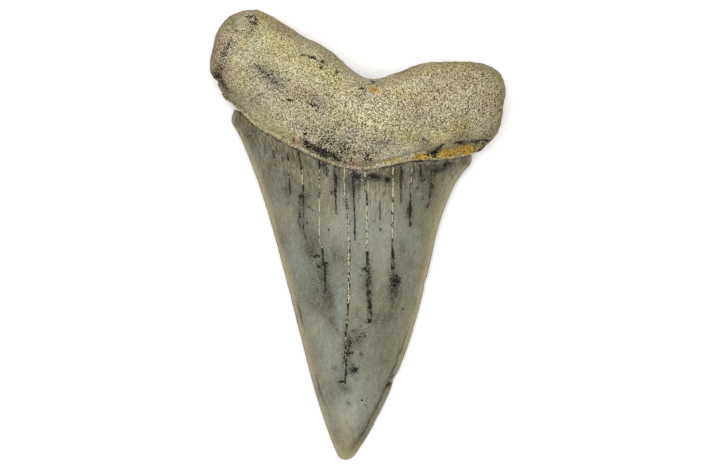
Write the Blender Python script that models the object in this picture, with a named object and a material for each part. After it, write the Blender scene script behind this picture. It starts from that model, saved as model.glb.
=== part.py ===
"""Fossil mako shark tooth, 60 mm long, lying on its flat outer face.

The tip points to -Y, the root to +Y, and the convex inner face looks up (+Z).
Crown and root are two lofts that are joined into the one solid a tooth is.
"""
import bmesh
import bpy
import numpy as np
from mathutils import Vector
from mathutils.bvhtree import BVHTree

MM = 0.001

# Crown stations from the tip to the outer enamel margin, in millimetres:
# left edge x, y; right edge x, y; height of the crest, of the cutting edges and of the outer face
CROWN_STATIONS = [
    (-1.6, -30.0, -1.6, -30.0, 1.0, 1.0, 1.0),
    (-2.4, -29.7, -0.8, -29.7, 1.6, 1.0, 0.5),
    (-3.0, -28.6, 0.1, -28.6, 2.1, 1.0, 0.1),
    (-4.2, -25.5, 2.0, -25.5, 2.9, 1.0, -0.15),
    (-5.9, -20.1, 4.5, -20.3, 4.0, 1.1, 0.1),
    (-7.6, -13.5, 7.1, -13.5, 5.1, 1.3, 0.5),
    (-9.6, -5.6, 9.2, -5.6, 6.2, 1.5, 0.7),
    (-11.4, 1.1, 10.8, 1.3, 7.1, 1.7, 0.7),
    (-13.0, 6.3, 12.6, 6.1, 7.7, 1.8, 0.6),
    (-14.4, 10.1, 13.9, 8.2, 8.1, 1.9, 0.5),
    (-15.7, 13.2, 15.0, 9.5, 8.4, 2.0, 0.4),
    (-16.8, 15.2, 15.2, 10.4, 8.5, 2.0, 0.35),
    (-16.4, 16.8, 15.1, 11.1, 8.5, 2.0, 0.3),
]
CROWN_BOW = 1.9          # how far the outer enamel margin sags towards the tip at its middle
CROWN_BOW_START = 6.0    # station where the sections begin to bow
CROWN_FLANGE = 1.25      # above 1, the inner face thins out into blades along both edges
OUTER_FLATNESS = 4.5     # how far the flat outer face reaches towards the edges

# Root stations from the end of the left lobe to the end of the right one, in millimetres:
# upper margin x, y; lower margin x, y; height of the crest, of the rim and of the outer face
ROOT_STATIONS = [
    (-19.3, 24.8, -19.3, 24.8, 4.4, 4.4, 4.4),
    (-18.5, 27.2, -19.7, 22.2, 7.0, 4.4, 2.0),
    (-17.1, 29.05, -19.2, 20.75, 8.7, 4.4, 0.4),
    (-14.9, 29.95, -17.95, 18.6, 9.2, 4.5, -0.1),
    (-12.5, 29.7, -16.2, 17.0, 9.4, 4.6, -0.15),
    (-9.6, 28.0, -13.7, 14.6, 9.7, 4.7, 0.1),
    (-6.3, 26.0, -10.0, 12.4, 10.5, 4.9, 0.4),
    (-2.9, 24.2, -6.0, 10.4, 11.6, 5.2, 0.7),
    (-0.1, 21.7, -2.4, 9.0, 12.3, 5.5, 0.8),
    (1.9, 20.8, 1.0, 8.6, 12.6, 5.6, 0.8),
    (5.0, 21.5, 4.3, 9.2, 12.2, 5.4, 0.7),
    (8.3, 22.7, 7.6, 9.9, 11.3, 5.1, 0.5),
    (12.3, 23.2, 11.1, 10.0, 10.2, 4.8, 0.1),
    (15.6, 23.0, 14.3, 10.55, 9.6, 4.6, -0.15),
    (17.9, 22.2, 16.1, 10.95, 9.2, 4.5, -0.1),
    (19.1, 21.1, 17.25, 12.15, 8.5, 4.4, 0.4),
    (19.7, 19.5, 18.75, 13.8, 7.0, 4.4, 1.9),
    (19.4, 17.2, 19.4, 17.2, 4.3, 4.3, 4.3),
]
ROOT_SQUARENESS = 3.0    # above 2, the root's two faces are flatter and its margins steeper

# The dental band, a ledge between the enamel and the root's body, in millimetres
# At each root station: squareness of the inner face above the band, and width of the band
ROOT_FOOT = [
    (3.0, 0.0), (3.0, 0.0), (2.6, 0.0), (2.2, 0.1), (1.9, 0.5), (1.8, 0.75),
    (1.8, 0.7), (1.9, 0.6), (1.9, 0.6), (1.9, 0.65), (2.0, 0.8), (2.3, 1.0),
    (2.8, 1.35), (3.2, 1.75), (3.2, 1.4), (3.0, 0.5), (3.0, 0.0), (3.0, 0.0),
]
BAND_START = (1.3, 2.3)  # stations over which the root comes down to the enamel on the left
BAND_END = (13.8, 15.8)  # stations over which it leaves it on the right
BAND_FREE_HEIGHT = 2.6   # height of the ledge where it runs on past the crown
BAND_LIP = (0.05, 0.4)   # widths of the band over which its ridge and its step grow
BAND_STEP = 0.30         # step where the root's body rises from the ledge
# Share of the band's width, counted from the enamel, and height over it: the ridge, then the ledge
BAND_PROFILE = [(0.0, 0.12), (0.16, 0.38), (0.34, 0.30), (0.85, 0.30), (1.0, 0.20)]

# How the root's lower end is sunk into the crown, in millimetres
CROWN_INSET = (0.4, 2.6)         # depth below the band at the crown's corners and at its middle
INSET_HEIGHTS = (2.6, 6.0)       # heights of the enamel between which the depth grows
OUTER_REACH = 3.4                # length over which the root's outer face rises into the crown

# Broad lumps and hollows of the root's inner face, in millimetres: x, y, height, radius
ROOT_RELIEF = [
    (-12.3, 21.0, -0.55, 2.6),
    (-7.5, 23.3, 0.35, 2.4),
    (-15.2, 26.3, 0.35, 2.2),
    (-9.0, 16.2, -0.30, 2.2),
    (-2.6, 17.6, 0.35, 2.0),
    (4.6, 16.2, 0.45, 2.6),
    (-3.4, 12.6, -0.40, 2.2),
    (8.6, 19.2, -0.35, 2.2),
    (13.4, 18.6, 0.35, 2.8),
    (10.6, 13.4, -0.25, 2.2),
]

CROWN_STEPS = 4          # rings between two crown stations
ROOT_STEPS = 4           # rings between two root stations
CROWN_HALF = 12          # faces across each side of the crown
ROOT_HALF = 13           # faces across each side of the root's body
WELD = 0.000001          # metres; points of a ring that meet where the band has no width


def through(values, position):
    """Point at a fractional index on the smooth curve through the given values."""
    values = np.asarray(values, dtype=float)
    index = int(min(max(np.floor(position), 0), len(values) - 2))
    part = position - index
    before = values[max(index - 1, 0)]
    here = values[index]
    after = values[index + 1]
    beyond = values[min(index + 2, len(values) - 1)]
    return 0.5 * (2.0 * here + (after - before) * part
                  + (2.0 * before - 5.0 * here + 4.0 * after - beyond) * part ** 2
                  + (3.0 * here - before - 3.0 * after + beyond) * part ** 3)


def ramp(value, start, end):
    """Smooth step from 0 at start to 1 at end."""
    part = min(max((value - start) / (end - start), 0.0), 1.0)
    return part * part * (3.0 - 2.0 * part)


def closed_loft(name, rings, start=None, end=None):
    """Mesh object with quads between rings of points; each end is a point, or a flat cap."""
    shape = bmesh.new()
    rows = [[shape.verts.new(Vector(point) * MM) for point in ring] for ring in rings]
    for row, following in zip(rows, rows[1:]):
        for index in range(len(row)):
            beside = (index + 1) % len(row)
            shape.faces.new((row[index], following[index], following[beside], row[beside]))
    for point, row in ((start, rows[0]), (end, rows[-1])):
        if point is None:
            shape.faces.new(row)
            continue
        apex = shape.verts.new(Vector(point) * MM)
        for index in range(len(row)):
            shape.faces.new((row[index], row[(index + 1) % len(row)], apex))
    bmesh.ops.remove_doubles(shape, verts=shape.verts, dist=WELD)
    bmesh.ops.recalc_face_normals(shape, faces=shape.faces)
    mesh = bpy.data.meshes.new(name)
    shape.to_mesh(mesh)
    shape.free()
    return bpy.data.objects.new(name, mesh)


def crown_ring(position):
    """One section of the crown: up over the convex inner face, back along the flat outer one."""
    left_x, left_y, right_x, right_y, crest, edge, outer = through(CROWN_STATIONS, position)
    last = len(CROWN_STATIONS) - 1
    bow = CROWN_BOW * ramp(position, CROWN_BOW_START, last)
    ring = []
    for side in (1.0, -1.0):
        for step in range(CROWN_HALF):
            across = -np.cos(np.pi * step / CROWN_HALF) * side
            x = left_x + (right_x - left_x) * (across + 1.0) / 2.0
            y = left_y + (right_y - left_y) * (across + 1.0) / 2.0 - bow * (1.0 - across ** 2)
            if side > 0.0:
                z = edge + (crest - edge) * (1.0 - across ** 2) ** CROWN_FLANGE
            else:
                z = edge + (outer - edge) * (1.0 - abs(across) ** OUTER_FLATNESS)
            ring.append((x, y, z))
    return ring


def build_crown():
    """The enamel-covered blade, from its tip to the outer enamel margin inside the root."""
    last = len(CROWN_STATIONS) - 1
    rings = [crown_ring(step / CROWN_STEPS) for step in range(1, last * CROWN_STEPS + 1)]
    tip_x, tip_y, _, _, tip_height, _, _ = CROWN_STATIONS[0]
    return closed_loft("crown", rings, start=(tip_x, tip_y, tip_height))


def root_relief(x, y):
    """Height that the broad lumps and hollows add to the root's inner face."""
    return sum(height * np.exp(-((x - at_x) ** 2 + (y - at_y) ** 2) / radius ** 2)
               for at_x, at_y, height, radius in ROOT_RELIEF)


def superellipse(across, squareness):
    """Height of the root's cross-section, from 0 at the margins to 1 at its middle."""
    return (1.0 - abs(across) ** squareness) ** (1.0 / squareness)


def root_margins(position):
    """Points of the upper and the lower margin; they run into each other around both lobes."""
    upper = [station[0:2] for station in ROOT_STATIONS]
    lower = [station[2:4] for station in ROOT_STATIONS]
    upper_path = [lower[1], *upper, lower[-2]]
    lower_path = [upper[1], *lower, upper[-2]]
    return through(upper_path, position + 1.0), through(lower_path, position + 1.0)


def root_ring(position, crown_tree):
    """One section of the root, from the lower margin over the inner face and back underneath."""
    upper, lower = root_margins(position)
    crest, rim, outer = through([station[4:] for station in ROOT_STATIONS], position)
    width = np.hypot(*(upper - lower))
    has_band = ramp(position, *BAND_START) * (1.0 - ramp(position, *BAND_END))
    foot_squareness, band = through(ROOT_FOOT, position)
    band = max(band, 0.0)
    lip = has_band * ramp(band, *BAND_LIP)

    def place(distance):
        return lower + (upper - lower) * distance / width

    def enamel(distance):
        """Height of the crown under a point of the section, or where it ends before that point."""
        height = BAND_FREE_HEIGHT
        for nearer in (distance, 0.5 * distance, 0.25 * distance, 0.0):
            above = Vector((*place(nearer), 2.0 * crest)) * MM
            hit = crown_tree.ray_cast(above, Vector((0.0, 0.0, -1.0)))[0]
            if hit is not None:
                height = max(hit.z / MM, BAND_FREE_HEIGHT)
                break
        return rim + (height - rim) * has_band

    foot = enamel(0.0)
    shallow, deep = CROWN_INSET
    inset = foot - (shallow + (deep - shallow) * ramp(foot, *INSET_HEIGHTS)) * has_band
    profile = [(0.0, inset)]
    for part, rise in BAND_PROFILE:
        profile.append((band * part, enamel(band * part) + rise * lip))
    step_top = enamel(band) + BAND_STEP * lip
    for step in range(1, ROOT_HALF):
        across = -np.cos(np.pi * step / ROOT_HALF)
        share = (across + 1.0) / 2.0
        distance = band + (width - band) * share
        base = step_top + (rim - step_top) * share
        swell = superellipse(across, foot_squareness if across < 0.0 else ROOT_SQUARENESS)
        lump = root_relief(*place(distance)) * swell ** 2
        profile.append((distance, base + (crest - base) * swell + lump))
    profile.append((width, rim))
    reach = OUTER_REACH * has_band
    for step in range(1, ROOT_HALF):
        across = np.cos(np.pi * step / ROOT_HALF)
        share = (across + 1.0) / 2.0
        distance = width * share
        base = inset + (rim - inset) * share
        height = base + (outer - base) * superellipse(across, ROOT_SQUARENESS)
        if distance < reach:
            height = max(height, outer + (inset - outer) * (1.0 - distance / reach) ** 1.5)
        profile.append((distance, height))
    return [(*place(distance), height) for distance, height in profile]


def build_root(crown):
    """The two-lobed root with its dental band, fitted over the crown's upper end."""
    crown_tree = BVHTree.FromPolygons([vertex.co for vertex in crown.data.vertices],
                                      [tuple(face.vertices) for face in crown.data.polygons])
    last = len(ROOT_STATIONS) - 1
    rings = [root_ring(step / ROOT_STEPS, crown_tree) for step in range(1, last * ROOT_STEPS)]
    first_x, first_y, _, _, first_height, _, _ = ROOT_STATIONS[0]
    last_x, last_y, _, _, last_height, _, _ = ROOT_STATIONS[-1]
    return closed_loft("root", rings, start=(first_x, first_y, first_height),
                       end=(last_x, last_y, last_height))


def material(name, colour, roughness):
    """Principled material with one colour."""
    made = bpy.data.materials.new(name)
    made.use_nodes = True
    shader = made.node_tree.nodes["Principled BSDF"]
    shader.inputs["Base Color"].default_value = (*colour, 1.0)
    shader.inputs["Roughness"].default_value = roughness
    shader.inputs["Metallic"].default_value = 0.0
    return made


def build_tooth(collection):
    """Join crown and root, and cut the underside flat where the tooth rests."""
    enamel = material("fossil enamel", (0.24, 0.25, 0.19), 0.4)
    dentine = material("fossil root", (0.42, 0.38, 0.24), 0.85)
    crown = build_crown()
    root = build_root(crown)
    crown.data.materials.append(enamel)
    root.data.materials.append(dentine)
    for piece in (crown, root):
        bpy.context.scene.collection.objects.link(piece)
    joint = crown.modifiers.new("join root", "BOOLEAN")
    joint.operation = "UNION"
    joint.solver = "EXACT"
    joint.object = root
    joint.material_mode = "TRANSFER"
    evaluated = crown.evaluated_get(bpy.context.evaluated_depsgraph_get())
    mesh = bpy.data.meshes.new_from_object(evaluated)
    for piece in (crown, root):
        bpy.data.objects.remove(piece)

    shape = bmesh.new()
    shape.from_mesh(mesh)
    everything = shape.verts[:] + shape.edges[:] + shape.faces[:]
    cut = bmesh.ops.bisect_plane(shape, geom=everything, dist=1e-7, plane_co=(0.0, 0.0, 0.0),
                                 plane_no=(0.0, 0.0, -1.0), clear_outer=True)
    rims = [item for item in cut["geom_cut"] if isinstance(item, bmesh.types.BMEdge)]
    bmesh.ops.edgenet_fill(shape, edges=rims)
    low = Vector(min(vertex.co[axis] for vertex in shape.verts) for axis in range(3))
    high = Vector(max(vertex.co[axis] for vertex in shape.verts) for axis in range(3))
    centre = (low + high) / 2.0
    bmesh.ops.translate(shape, vec=(-centre.x, -centre.y, -low.z), verts=shape.verts)
    shape.to_mesh(mesh)
    shape.free()
    mesh.name = "tooth"
    mesh.shade_smooth()
    mesh.set_sharp_from_angle(angle=np.radians(40.0))
    tooth = bpy.data.objects.new("tooth", mesh)
    collection.objects.link(tooth)
    return tooth


for leftover in list(bpy.data.objects):
    bpy.data.objects.remove(leftover)
fossil = bpy.data.collections.new("fossil mako shark tooth")
bpy.context.scene.collection.children.link(fossil)
build_tooth(fossil)
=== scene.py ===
"""The looks of a fossil mako shark tooth that lies on its flat outer face, inner face up."""

import math

import bpy
import numpy as np
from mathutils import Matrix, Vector, noise
from mathutils.bvhtree import BVHTree


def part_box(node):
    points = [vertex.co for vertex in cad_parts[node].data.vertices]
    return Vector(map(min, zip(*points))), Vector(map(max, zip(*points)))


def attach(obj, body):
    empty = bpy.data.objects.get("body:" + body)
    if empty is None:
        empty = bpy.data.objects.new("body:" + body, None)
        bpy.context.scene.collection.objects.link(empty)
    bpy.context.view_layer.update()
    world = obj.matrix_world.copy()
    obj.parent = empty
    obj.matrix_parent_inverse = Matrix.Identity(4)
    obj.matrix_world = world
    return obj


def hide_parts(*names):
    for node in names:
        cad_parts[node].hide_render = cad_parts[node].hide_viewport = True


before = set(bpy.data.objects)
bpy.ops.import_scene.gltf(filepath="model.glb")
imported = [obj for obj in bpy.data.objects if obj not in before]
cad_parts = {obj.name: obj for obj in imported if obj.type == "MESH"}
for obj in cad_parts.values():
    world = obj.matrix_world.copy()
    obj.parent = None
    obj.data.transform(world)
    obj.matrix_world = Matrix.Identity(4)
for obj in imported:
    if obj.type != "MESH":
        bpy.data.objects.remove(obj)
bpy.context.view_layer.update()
MM = 0.001

# The crown
# A broad, smooth-edged blade of dentine under a skin of enamel: flat outside, convex inside,
# thinned out into a blade along both sides. It grew as one with the root, which hides its upper end.

# From the tip to the outer enamel margin, in millimetres: left edge x, y; right edge x, y;
# height of the crest, of the cutting edges and of the outer face
CROWN_STATIONS = [
    (-1.6, -30.0, -1.6, -30.0, 1.0, 1.0, 1.0),
    (-2.4, -29.7, -0.8, -29.7, 1.6, 1.0, 0.5),
    (-3.0, -28.6, 0.1, -28.6, 2.1, 1.0, 0.1),
    (-4.2, -25.5, 2.0, -25.5, 2.9, 1.0, -0.15),
    (-5.9, -20.1, 4.5, -20.3, 4.0, 1.1, 0.1),
    (-7.6, -13.5, 7.1, -13.5, 5.1, 1.3, 0.5),
    (-9.6, -5.6, 9.2, -5.6, 6.2, 1.5, 0.7),
    (-11.4, 1.1, 10.8, 1.3, 7.1, 1.7, 0.7),
    (-13.0, 6.3, 12.6, 6.1, 7.7, 1.8, 0.6),
    (-14.4, 10.1, 13.9, 8.2, 8.1, 1.9, 0.5),
    (-15.7, 13.2, 15.0, 9.5, 8.4, 2.0, 0.4),
    (-16.8, 15.2, 15.2, 10.4, 8.5, 2.0, 0.35),
    (-16.4, 16.8, 15.1, 11.1, 8.5, 2.0, 0.3),
]
CROWN_BOW = 1.9              # how far the last rows bow towards the tip, as the enamel margin does
CROWN_BOW_START = 6.0        # station at which the rows start to bow
CROWN_FLANGE = 1.25          # power of the inner face's arch; above 1, it thins out to the edges
OUTER_FLATNESS = 4.5         # the higher, the flatter the outer face
CROWN_MESH = 0.19            # spacing of the mesh on the crown's inner face
OUTER_MESH = 0.36            # spacing across the outer face, which it lies on
SAMPLES = 400                # points that a section is worked out at before it is spaced evenly


def through(stations, positions):
    """Values at fractional station numbers, on the smooth curve through the stations."""
    stations = np.asarray(stations, dtype=float)
    positions = np.atleast_1d(positions).astype(float)
    index = np.clip(np.floor(positions).astype(int), 0, len(stations) - 2)
    part = (positions - index)[:, None]
    before = stations[np.maximum(index - 1, 0)]
    here = stations[index]
    after = stations[index + 1]
    beyond = stations[np.minimum(index + 2, len(stations) - 1)]
    return 0.5 * (2.0 * here + (after - before) * part
                  + (2.0 * before - 5.0 * here + 4.0 * after - beyond) * part ** 2
                  + (3.0 * here - before - 3.0 * after + beyond) * part ** 3)


def ramp(value, start, end):
    """Smooth step from 0 at start to 1 at end."""
    part = np.clip((value - start) / (end - start), 0.0, 1.0)
    return part * part * (3.0 - 2.0 * part)


def lengths_along(points):
    """Length of a line of points up to each of them."""
    return np.concatenate([[0.0], np.cumsum(np.linalg.norm(np.diff(points, axis=0), axis=1))])


def evenly(points, spacing):
    """The same line with points at an even spacing, and their shares of its length."""
    along = lengths_along(points)
    count = max(int(round(along[-1] / spacing)), 1)
    shares = np.linspace(0.0, 1.0, count + 1)
    spaced = [np.interp(shares * along[-1], along, points[:, axis]) for axis in range(3)]
    return np.stack(spaced, axis=1), shares


class Skin:
    """Points and triangles of a loft whose rows may hold different numbers of points."""

    def __init__(self):
        self.points = []
        self.triangles = []

    def row(self, points):
        """Add a row of points and give their numbers."""
        first = len(self.points)
        self.points.extend(map(tuple, points))
        return list(range(first, len(self.points)))

    def zip(self, row, shares, following, following_shares):
        """Fill the strip between two rows that run the same way."""
        here, there = 0, 0
        while here < len(row) - 1 or there < len(following) - 1:
            if there == len(following) - 1:
                step_here = True
            elif here == len(row) - 1:
                step_here = False
            else:
                ahead = shares[here] + shares[here + 1]
                step_here = ahead <= following_shares[there] + following_shares[there + 1]
            if step_here:
                corners = (row[here], row[here + 1], following[there])
                here += 1
            else:
                corners = (row[here], following[there + 1], following[there])
                there += 1
            if len(set(corners)) == 3:
                self.triangles.append(corners)

    def loft(self, sections):
        """Closed skin through sections; each is a pair of rows that share their first and last point."""
        before = None
        for upper, lower in sections:
            top = self.row(upper[0])
            under = [top[0], *self.row(lower[0][1:-1]), top[-1]] if len(top) > 1 else top
            if before is not None:
                self.zip(before[0], before[1], top, upper[1])
                self.zip(under, lower[1], before[2], before[3])
            else:
                self.zip(under, lower[1], top, upper[1])
            before = (top, upper[1], under, lower[1])
        self.zip(before[0], before[1], before[2], before[3])

    def piece(self, name, flipped):
        """Object with this skin in metres; flipped turns every triangle over."""
        mesh = bpy.data.meshes.new(name)
        triangles = [corners[::-1] for corners in self.triangles] if flipped else self.triangles
        mesh.from_pydata([Vector(point) * MM for point in self.points], [], triangles)
        made = bpy.data.objects.new(name, mesh)
        bpy.context.scene.collection.objects.link(made)
        return made


def crown_section(station, bow):
    """Inner and outer row of one section of the crown, from its left to its right edge."""
    left_x, left_y, right_x, right_y, crest, edge, outer = station
    across = np.linspace(-1.0, 1.0, SAMPLES)
    x = left_x + (right_x - left_x) * (across + 1.0) / 2.0
    y = left_y + (right_y - left_y) * (across + 1.0) / 2.0 - bow * (1.0 - across ** 2)
    inner = edge + (crest - edge) * (1.0 - across ** 2) ** CROWN_FLANGE
    outer = edge + (outer - edge) * (1.0 - np.abs(across) ** OUTER_FLATNESS)
    upper = evenly(np.stack([x, y, inner], axis=1), CROWN_MESH)
    lower = evenly(np.stack([x, y, outer], axis=1), OUTER_MESH)
    return upper, lower


crown_last = len(CROWN_STATIONS) - 1
trial = np.linspace(0.0, crown_last, SAMPLES)
trial_values = through(CROWN_STATIONS, trial)
middle_line = (trial_values[:, 0:2] + trial_values[:, 2:4]) / 2.0
along_crown = lengths_along(middle_line)
ring_count = int(along_crown[-1] / CROWN_MESH)
crown_positions = np.interp(np.linspace(0.0, along_crown[-1], ring_count + 1), along_crown, trial)
crown_values = through(CROWN_STATIONS, crown_positions)
crown_bows = CROWN_BOW * ramp(crown_positions, CROWN_BOW_START, crown_last)
tip = np.array([[*CROWN_STATIONS[0][0:2], CROWN_STATIONS[0][4]]])
tip_row = (tip, np.zeros(1))
crown_sections = [(tip_row, tip_row)]
for station, bow in zip(crown_values[1:], crown_bows[1:]):
    crown_sections.append(crown_section(station, bow))
crown_skin = Skin()
crown_skin.loft(crown_sections)
crown = crown_skin.piece("crown", flipped=False)

# The root
# Two porous lobes of bone-like dentine with a thick boss between them on the inner face. Along the
# enamel it starts with the dental band, a narrow ledge under a bluff, behind a thin pale ridge.

# From the end of the left lobe to that of the right one, in millimetres: upper margin x, y;
# lower margin x, y; height of the crest, of the rim and of the outer face
ROOT_STATIONS = [
    (-19.3, 24.8, -19.3, 24.8, 4.4, 4.4, 4.4),
    (-18.5, 27.2, -19.7, 22.2, 7.0, 4.4, 2.0),
    (-17.1, 29.05, -19.2, 20.75, 8.7, 4.4, 0.4),
    (-14.9, 29.95, -17.95, 18.6, 9.2, 4.5, -0.1),
    (-12.5, 29.7, -16.2, 17.0, 9.4, 4.6, -0.15),
    (-9.6, 28.0, -13.7, 14.6, 9.7, 4.7, 0.1),
    (-6.3, 26.0, -10.0, 12.4, 10.5, 4.9, 0.4),
    (-3.0, 24.0, -6.0, 10.4, 11.6, 5.2, 0.7),
    (-0.25, 21.5, -2.4, 9.0, 12.3, 5.5, 0.8),
    (1.9, 20.7, 1.0, 8.6, 12.6, 5.6, 0.8),
    (5.0, 21.5, 4.3, 9.2, 12.2, 5.4, 0.7),
    (8.3, 22.7, 7.6, 9.9, 11.3, 5.1, 0.5),
    (12.3, 23.2, 11.1, 10.0, 10.2, 4.8, 0.1),
    (15.6, 23.0, 14.3, 10.55, 9.6, 4.6, -0.15),
    (17.9, 22.2, 16.1, 10.95, 9.2, 4.5, -0.1),
    (19.1, 21.1, 17.25, 12.15, 8.5, 4.4, 0.4),
    (19.7, 19.5, 18.75, 13.8, 7.0, 4.4, 1.9),
    (19.4, 17.2, 19.4, 17.2, 4.3, 4.3, 4.3),
]
ROOT_MESH = 0.14             # spacing of the mesh on the root, whose grain is finer
UPPER_SQUARENESS = 3.0       # how boxy the flank along the upper margin is; 2 is a plain ellipse
# How boxy the flank above the band is, and how wide the band is, at each of the stations
ROOT_FOOT = [
    (3.0, 0.0), (3.0, 0.0), (2.6, 0.0), (2.2, 0.1), (1.9, 0.5), (1.8, 0.75),
    (1.8, 0.7), (1.9, 0.6), (1.9, 0.6), (1.9, 0.65), (2.0, 0.8), (2.3, 1.0),
    (2.8, 1.35), (3.2, 1.75), (3.2, 1.4), (3.0, 0.5), (3.0, 0.0), (3.0, 0.0),
]
BAND_START = (1.3, 2.3)      # stations over which the band begins, at the left lobe
BAND_END = (13.8, 15.8)      # stations over which it ends, at the right lobe
BAND_FREE_HEIGHT = 2.6       # height that it has where no enamel is under it
BAND_STEP = 0.30             # height of the bluff's foot above the enamel
BAND_LIP = (0.05, 0.4)       # width of the band over which its ridge and its step grow
NO_LIP = 0.02                # lip under which a section has no band
BAND_SHARE = 0.1             # share of a mesh row that crosses the band
# From the enamel to the bluff: share of the band's width, and height above the enamel
BAND_PROFILE = [(0.0, 0.12), (0.08, 0.30), (0.16, 0.38), (0.24, 0.35), (0.34, 0.30), (0.5, 0.29),
                (0.68, 0.29), (0.85, 0.30), (0.94, 0.27), (1.0, 0.20)]
CROWN_INSET = (0.4, 2.6)     # how deep the root reaches into the crown, at the ends and the middle
INSET_HEIGHTS = (2.6, 6.0)   # heights of the enamel that this goes with
OUTER_REACH = 3.4            # how far from the enamel the outer face dives in to meet it
OUTER_BEND = 1.5             # power of that dive; above 1, it is steepest at the enamel
# Swells and hollows of the inner face: x and y of the middle, height and radius
ROOT_RELIEF = [
    (-12.3, 21.0, -0.55, 2.6),
    (-7.5, 23.3, 0.35, 2.4),
    (-15.2, 26.3, 0.35, 2.2),
    (-9.0, 16.2, -0.30, 2.2),
    (-2.6, 17.6, 0.35, 2.0),
    (4.6, 16.2, 0.45, 2.6),
    (-3.4, 12.6, -0.40, 2.2),
    (8.6, 19.2, -0.35, 2.2),
    (13.4, 18.6, 0.35, 2.8),
    (10.6, 13.4, -0.25, 2.2),
]

crown_tree = BVHTree.FromPolygons([vertex.co for vertex in crown.data.vertices],
                                  [tuple(face.vertices) for face in crown.data.polygons])
root_last = len(ROOT_STATIONS) - 1
upper_points = [station[0:2] for station in ROOT_STATIONS]
lower_points = [station[2:4] for station in ROOT_STATIONS]
upper_path = [lower_points[1], *upper_points, lower_points[-2]]
lower_path = [upper_points[1], *lower_points, upper_points[-2]]
root_heights = [station[4:] for station in ROOT_STATIONS]


def root_section(position):
    """Inner and outer row of one section of the root, from its lower to its upper margin."""
    upper = through(upper_path, position + 1.0)[0]
    lower = through(lower_path, position + 1.0)[0]
    crest, rim, outer = through(root_heights, position)[0]
    width = math.hypot(*(upper - lower))
    has_band = ramp(position, *BAND_START) * (1.0 - ramp(position, *BAND_END))
    lower_squareness, band = through(ROOT_FOOT, position)[0]
    band = max(band, 0.0)
    lip = has_band * ramp(band, *BAND_LIP)

    def place(distances):
        return lower + (upper - lower) * np.atleast_1d(distances)[:, None] / width

    def enamel(distance):
        height = BAND_FREE_HEIGHT
        for step in (distance, 0.5 * distance, 0.25 * distance, 0.0):
            above = Vector((*place(step)[0], 2.0 * crest)) * MM
            hit = crown_tree.ray_cast(above, Vector((0.0, 0.0, -1.0)))[0]
            if hit is not None:
                height = max(hit.z / MM, BAND_FREE_HEIGHT)
                break
        return rim + (height - rim) * has_band

    foot = enamel(0.0)
    shallow, deep = CROWN_INSET
    inset = foot - (shallow + (deep - shallow) * ramp(foot, *INSET_HEIGHTS)) * has_band
    step_top = enamel(band) + BAND_STEP * lip

    across = -np.cos(np.linspace(0.0, np.pi, SAMPLES))
    share = (across + 1.0) / 2.0
    squareness = np.where(across < 0.0, lower_squareness, UPPER_SQUARENESS)
    swell = (1.0 - np.abs(across) ** squareness) ** (1.0 / squareness)
    distances = band + (width - band) * share
    base = step_top + (rim - step_top) * share
    spots = place(distances)
    lump = sum(height * np.exp(-((spots[:, 0] - x) ** 2 + (spots[:, 1] - y) ** 2) / radius ** 2)
               for x, y, height, radius in ROOT_RELIEF)
    heights = base + (crest - base) * swell + lump * swell ** 2
    body, body_shares = evenly(np.column_stack([spots, heights]), ROOT_MESH)
    shares = BAND_SHARE + (1.0 - BAND_SHARE) * body_shares
    if lip > NO_LIP:
        ledge = [(0.0, inset)]
        for part, rise in BAND_PROFILE:
            ledge.append((band * part, enamel(band * part) + rise * lip))
        ledge = np.array(ledge)
        upper_row = np.vstack([np.column_stack([place(ledge[:, 0]), ledge[:, 1]]), body])
        ledge_shares = np.linspace(0.0, BAND_SHARE, len(ledge), endpoint=False)
        shares = np.concatenate([ledge_shares, shares])
    else:
        upper_row = np.vstack([[*lower, inset], body[1:]])
        shares[0] = 0.0

    distances = width * share
    margin_line = inset + (rim - inset) * share
    hollow = (1.0 - np.abs(across) ** UPPER_SQUARENESS) ** (1.0 / UPPER_SQUARENESS)
    under = margin_line + (outer - margin_line) * hollow
    reach = max(OUTER_REACH * has_band, 1e-9)
    dive = outer + (inset - outer) * np.clip(1.0 - distances / reach, 0.0, 1.0) ** OUTER_BEND
    under = np.where(distances < reach, np.maximum(under, dive), under)
    lower_row = evenly(np.column_stack([place(distances), under]), OUTER_MESH)
    return (upper_row, shares), lower_row


trial = np.linspace(0.0, root_last, SAMPLES)
upper_run = np.linalg.norm(np.diff(through(upper_path, trial + 1.0), axis=0), axis=1)
lower_run = np.linalg.norm(np.diff(through(lower_path, trial + 1.0), axis=0), axis=1)
along_root = np.concatenate([[0.0], np.cumsum(np.maximum(upper_run, lower_run))])
ring_count = int(along_root[-1] / ROOT_MESH)
root_positions = np.interp(np.linspace(0.0, along_root[-1], ring_count + 1), along_root, trial)
left_end = np.array([[*ROOT_STATIONS[0][0:2], ROOT_STATIONS[0][4]]])
right_end = np.array([[*ROOT_STATIONS[-1][0:2], ROOT_STATIONS[-1][4]]])
left_row = (left_end, np.zeros(1))
right_row = (right_end, np.zeros(1))
root_sections = [(left_row, left_row)]
for position in root_positions[1:-1]:
    root_sections.append(root_section(position))
root_sections.append((right_row, right_row))
root_skin = Skin()
root_skin.loft(root_sections)
root = root_skin.piece("root", flipped=True)

# The whole tooth
# Crown and root are one natural growth, turned to stone together, so they are merged into one skin.
# It is worn flat where it lies: under each root lobe and near the crown's tip.

INNER_SLANT = (-0.2, 0.1)    # upward part of the normal over which the inner face's marks fade in
CROWN_TRACE = 90             # points of the crown's outline that distances are measured to
ROOT_TRACE = 120             # the same for each margin of the root

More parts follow.
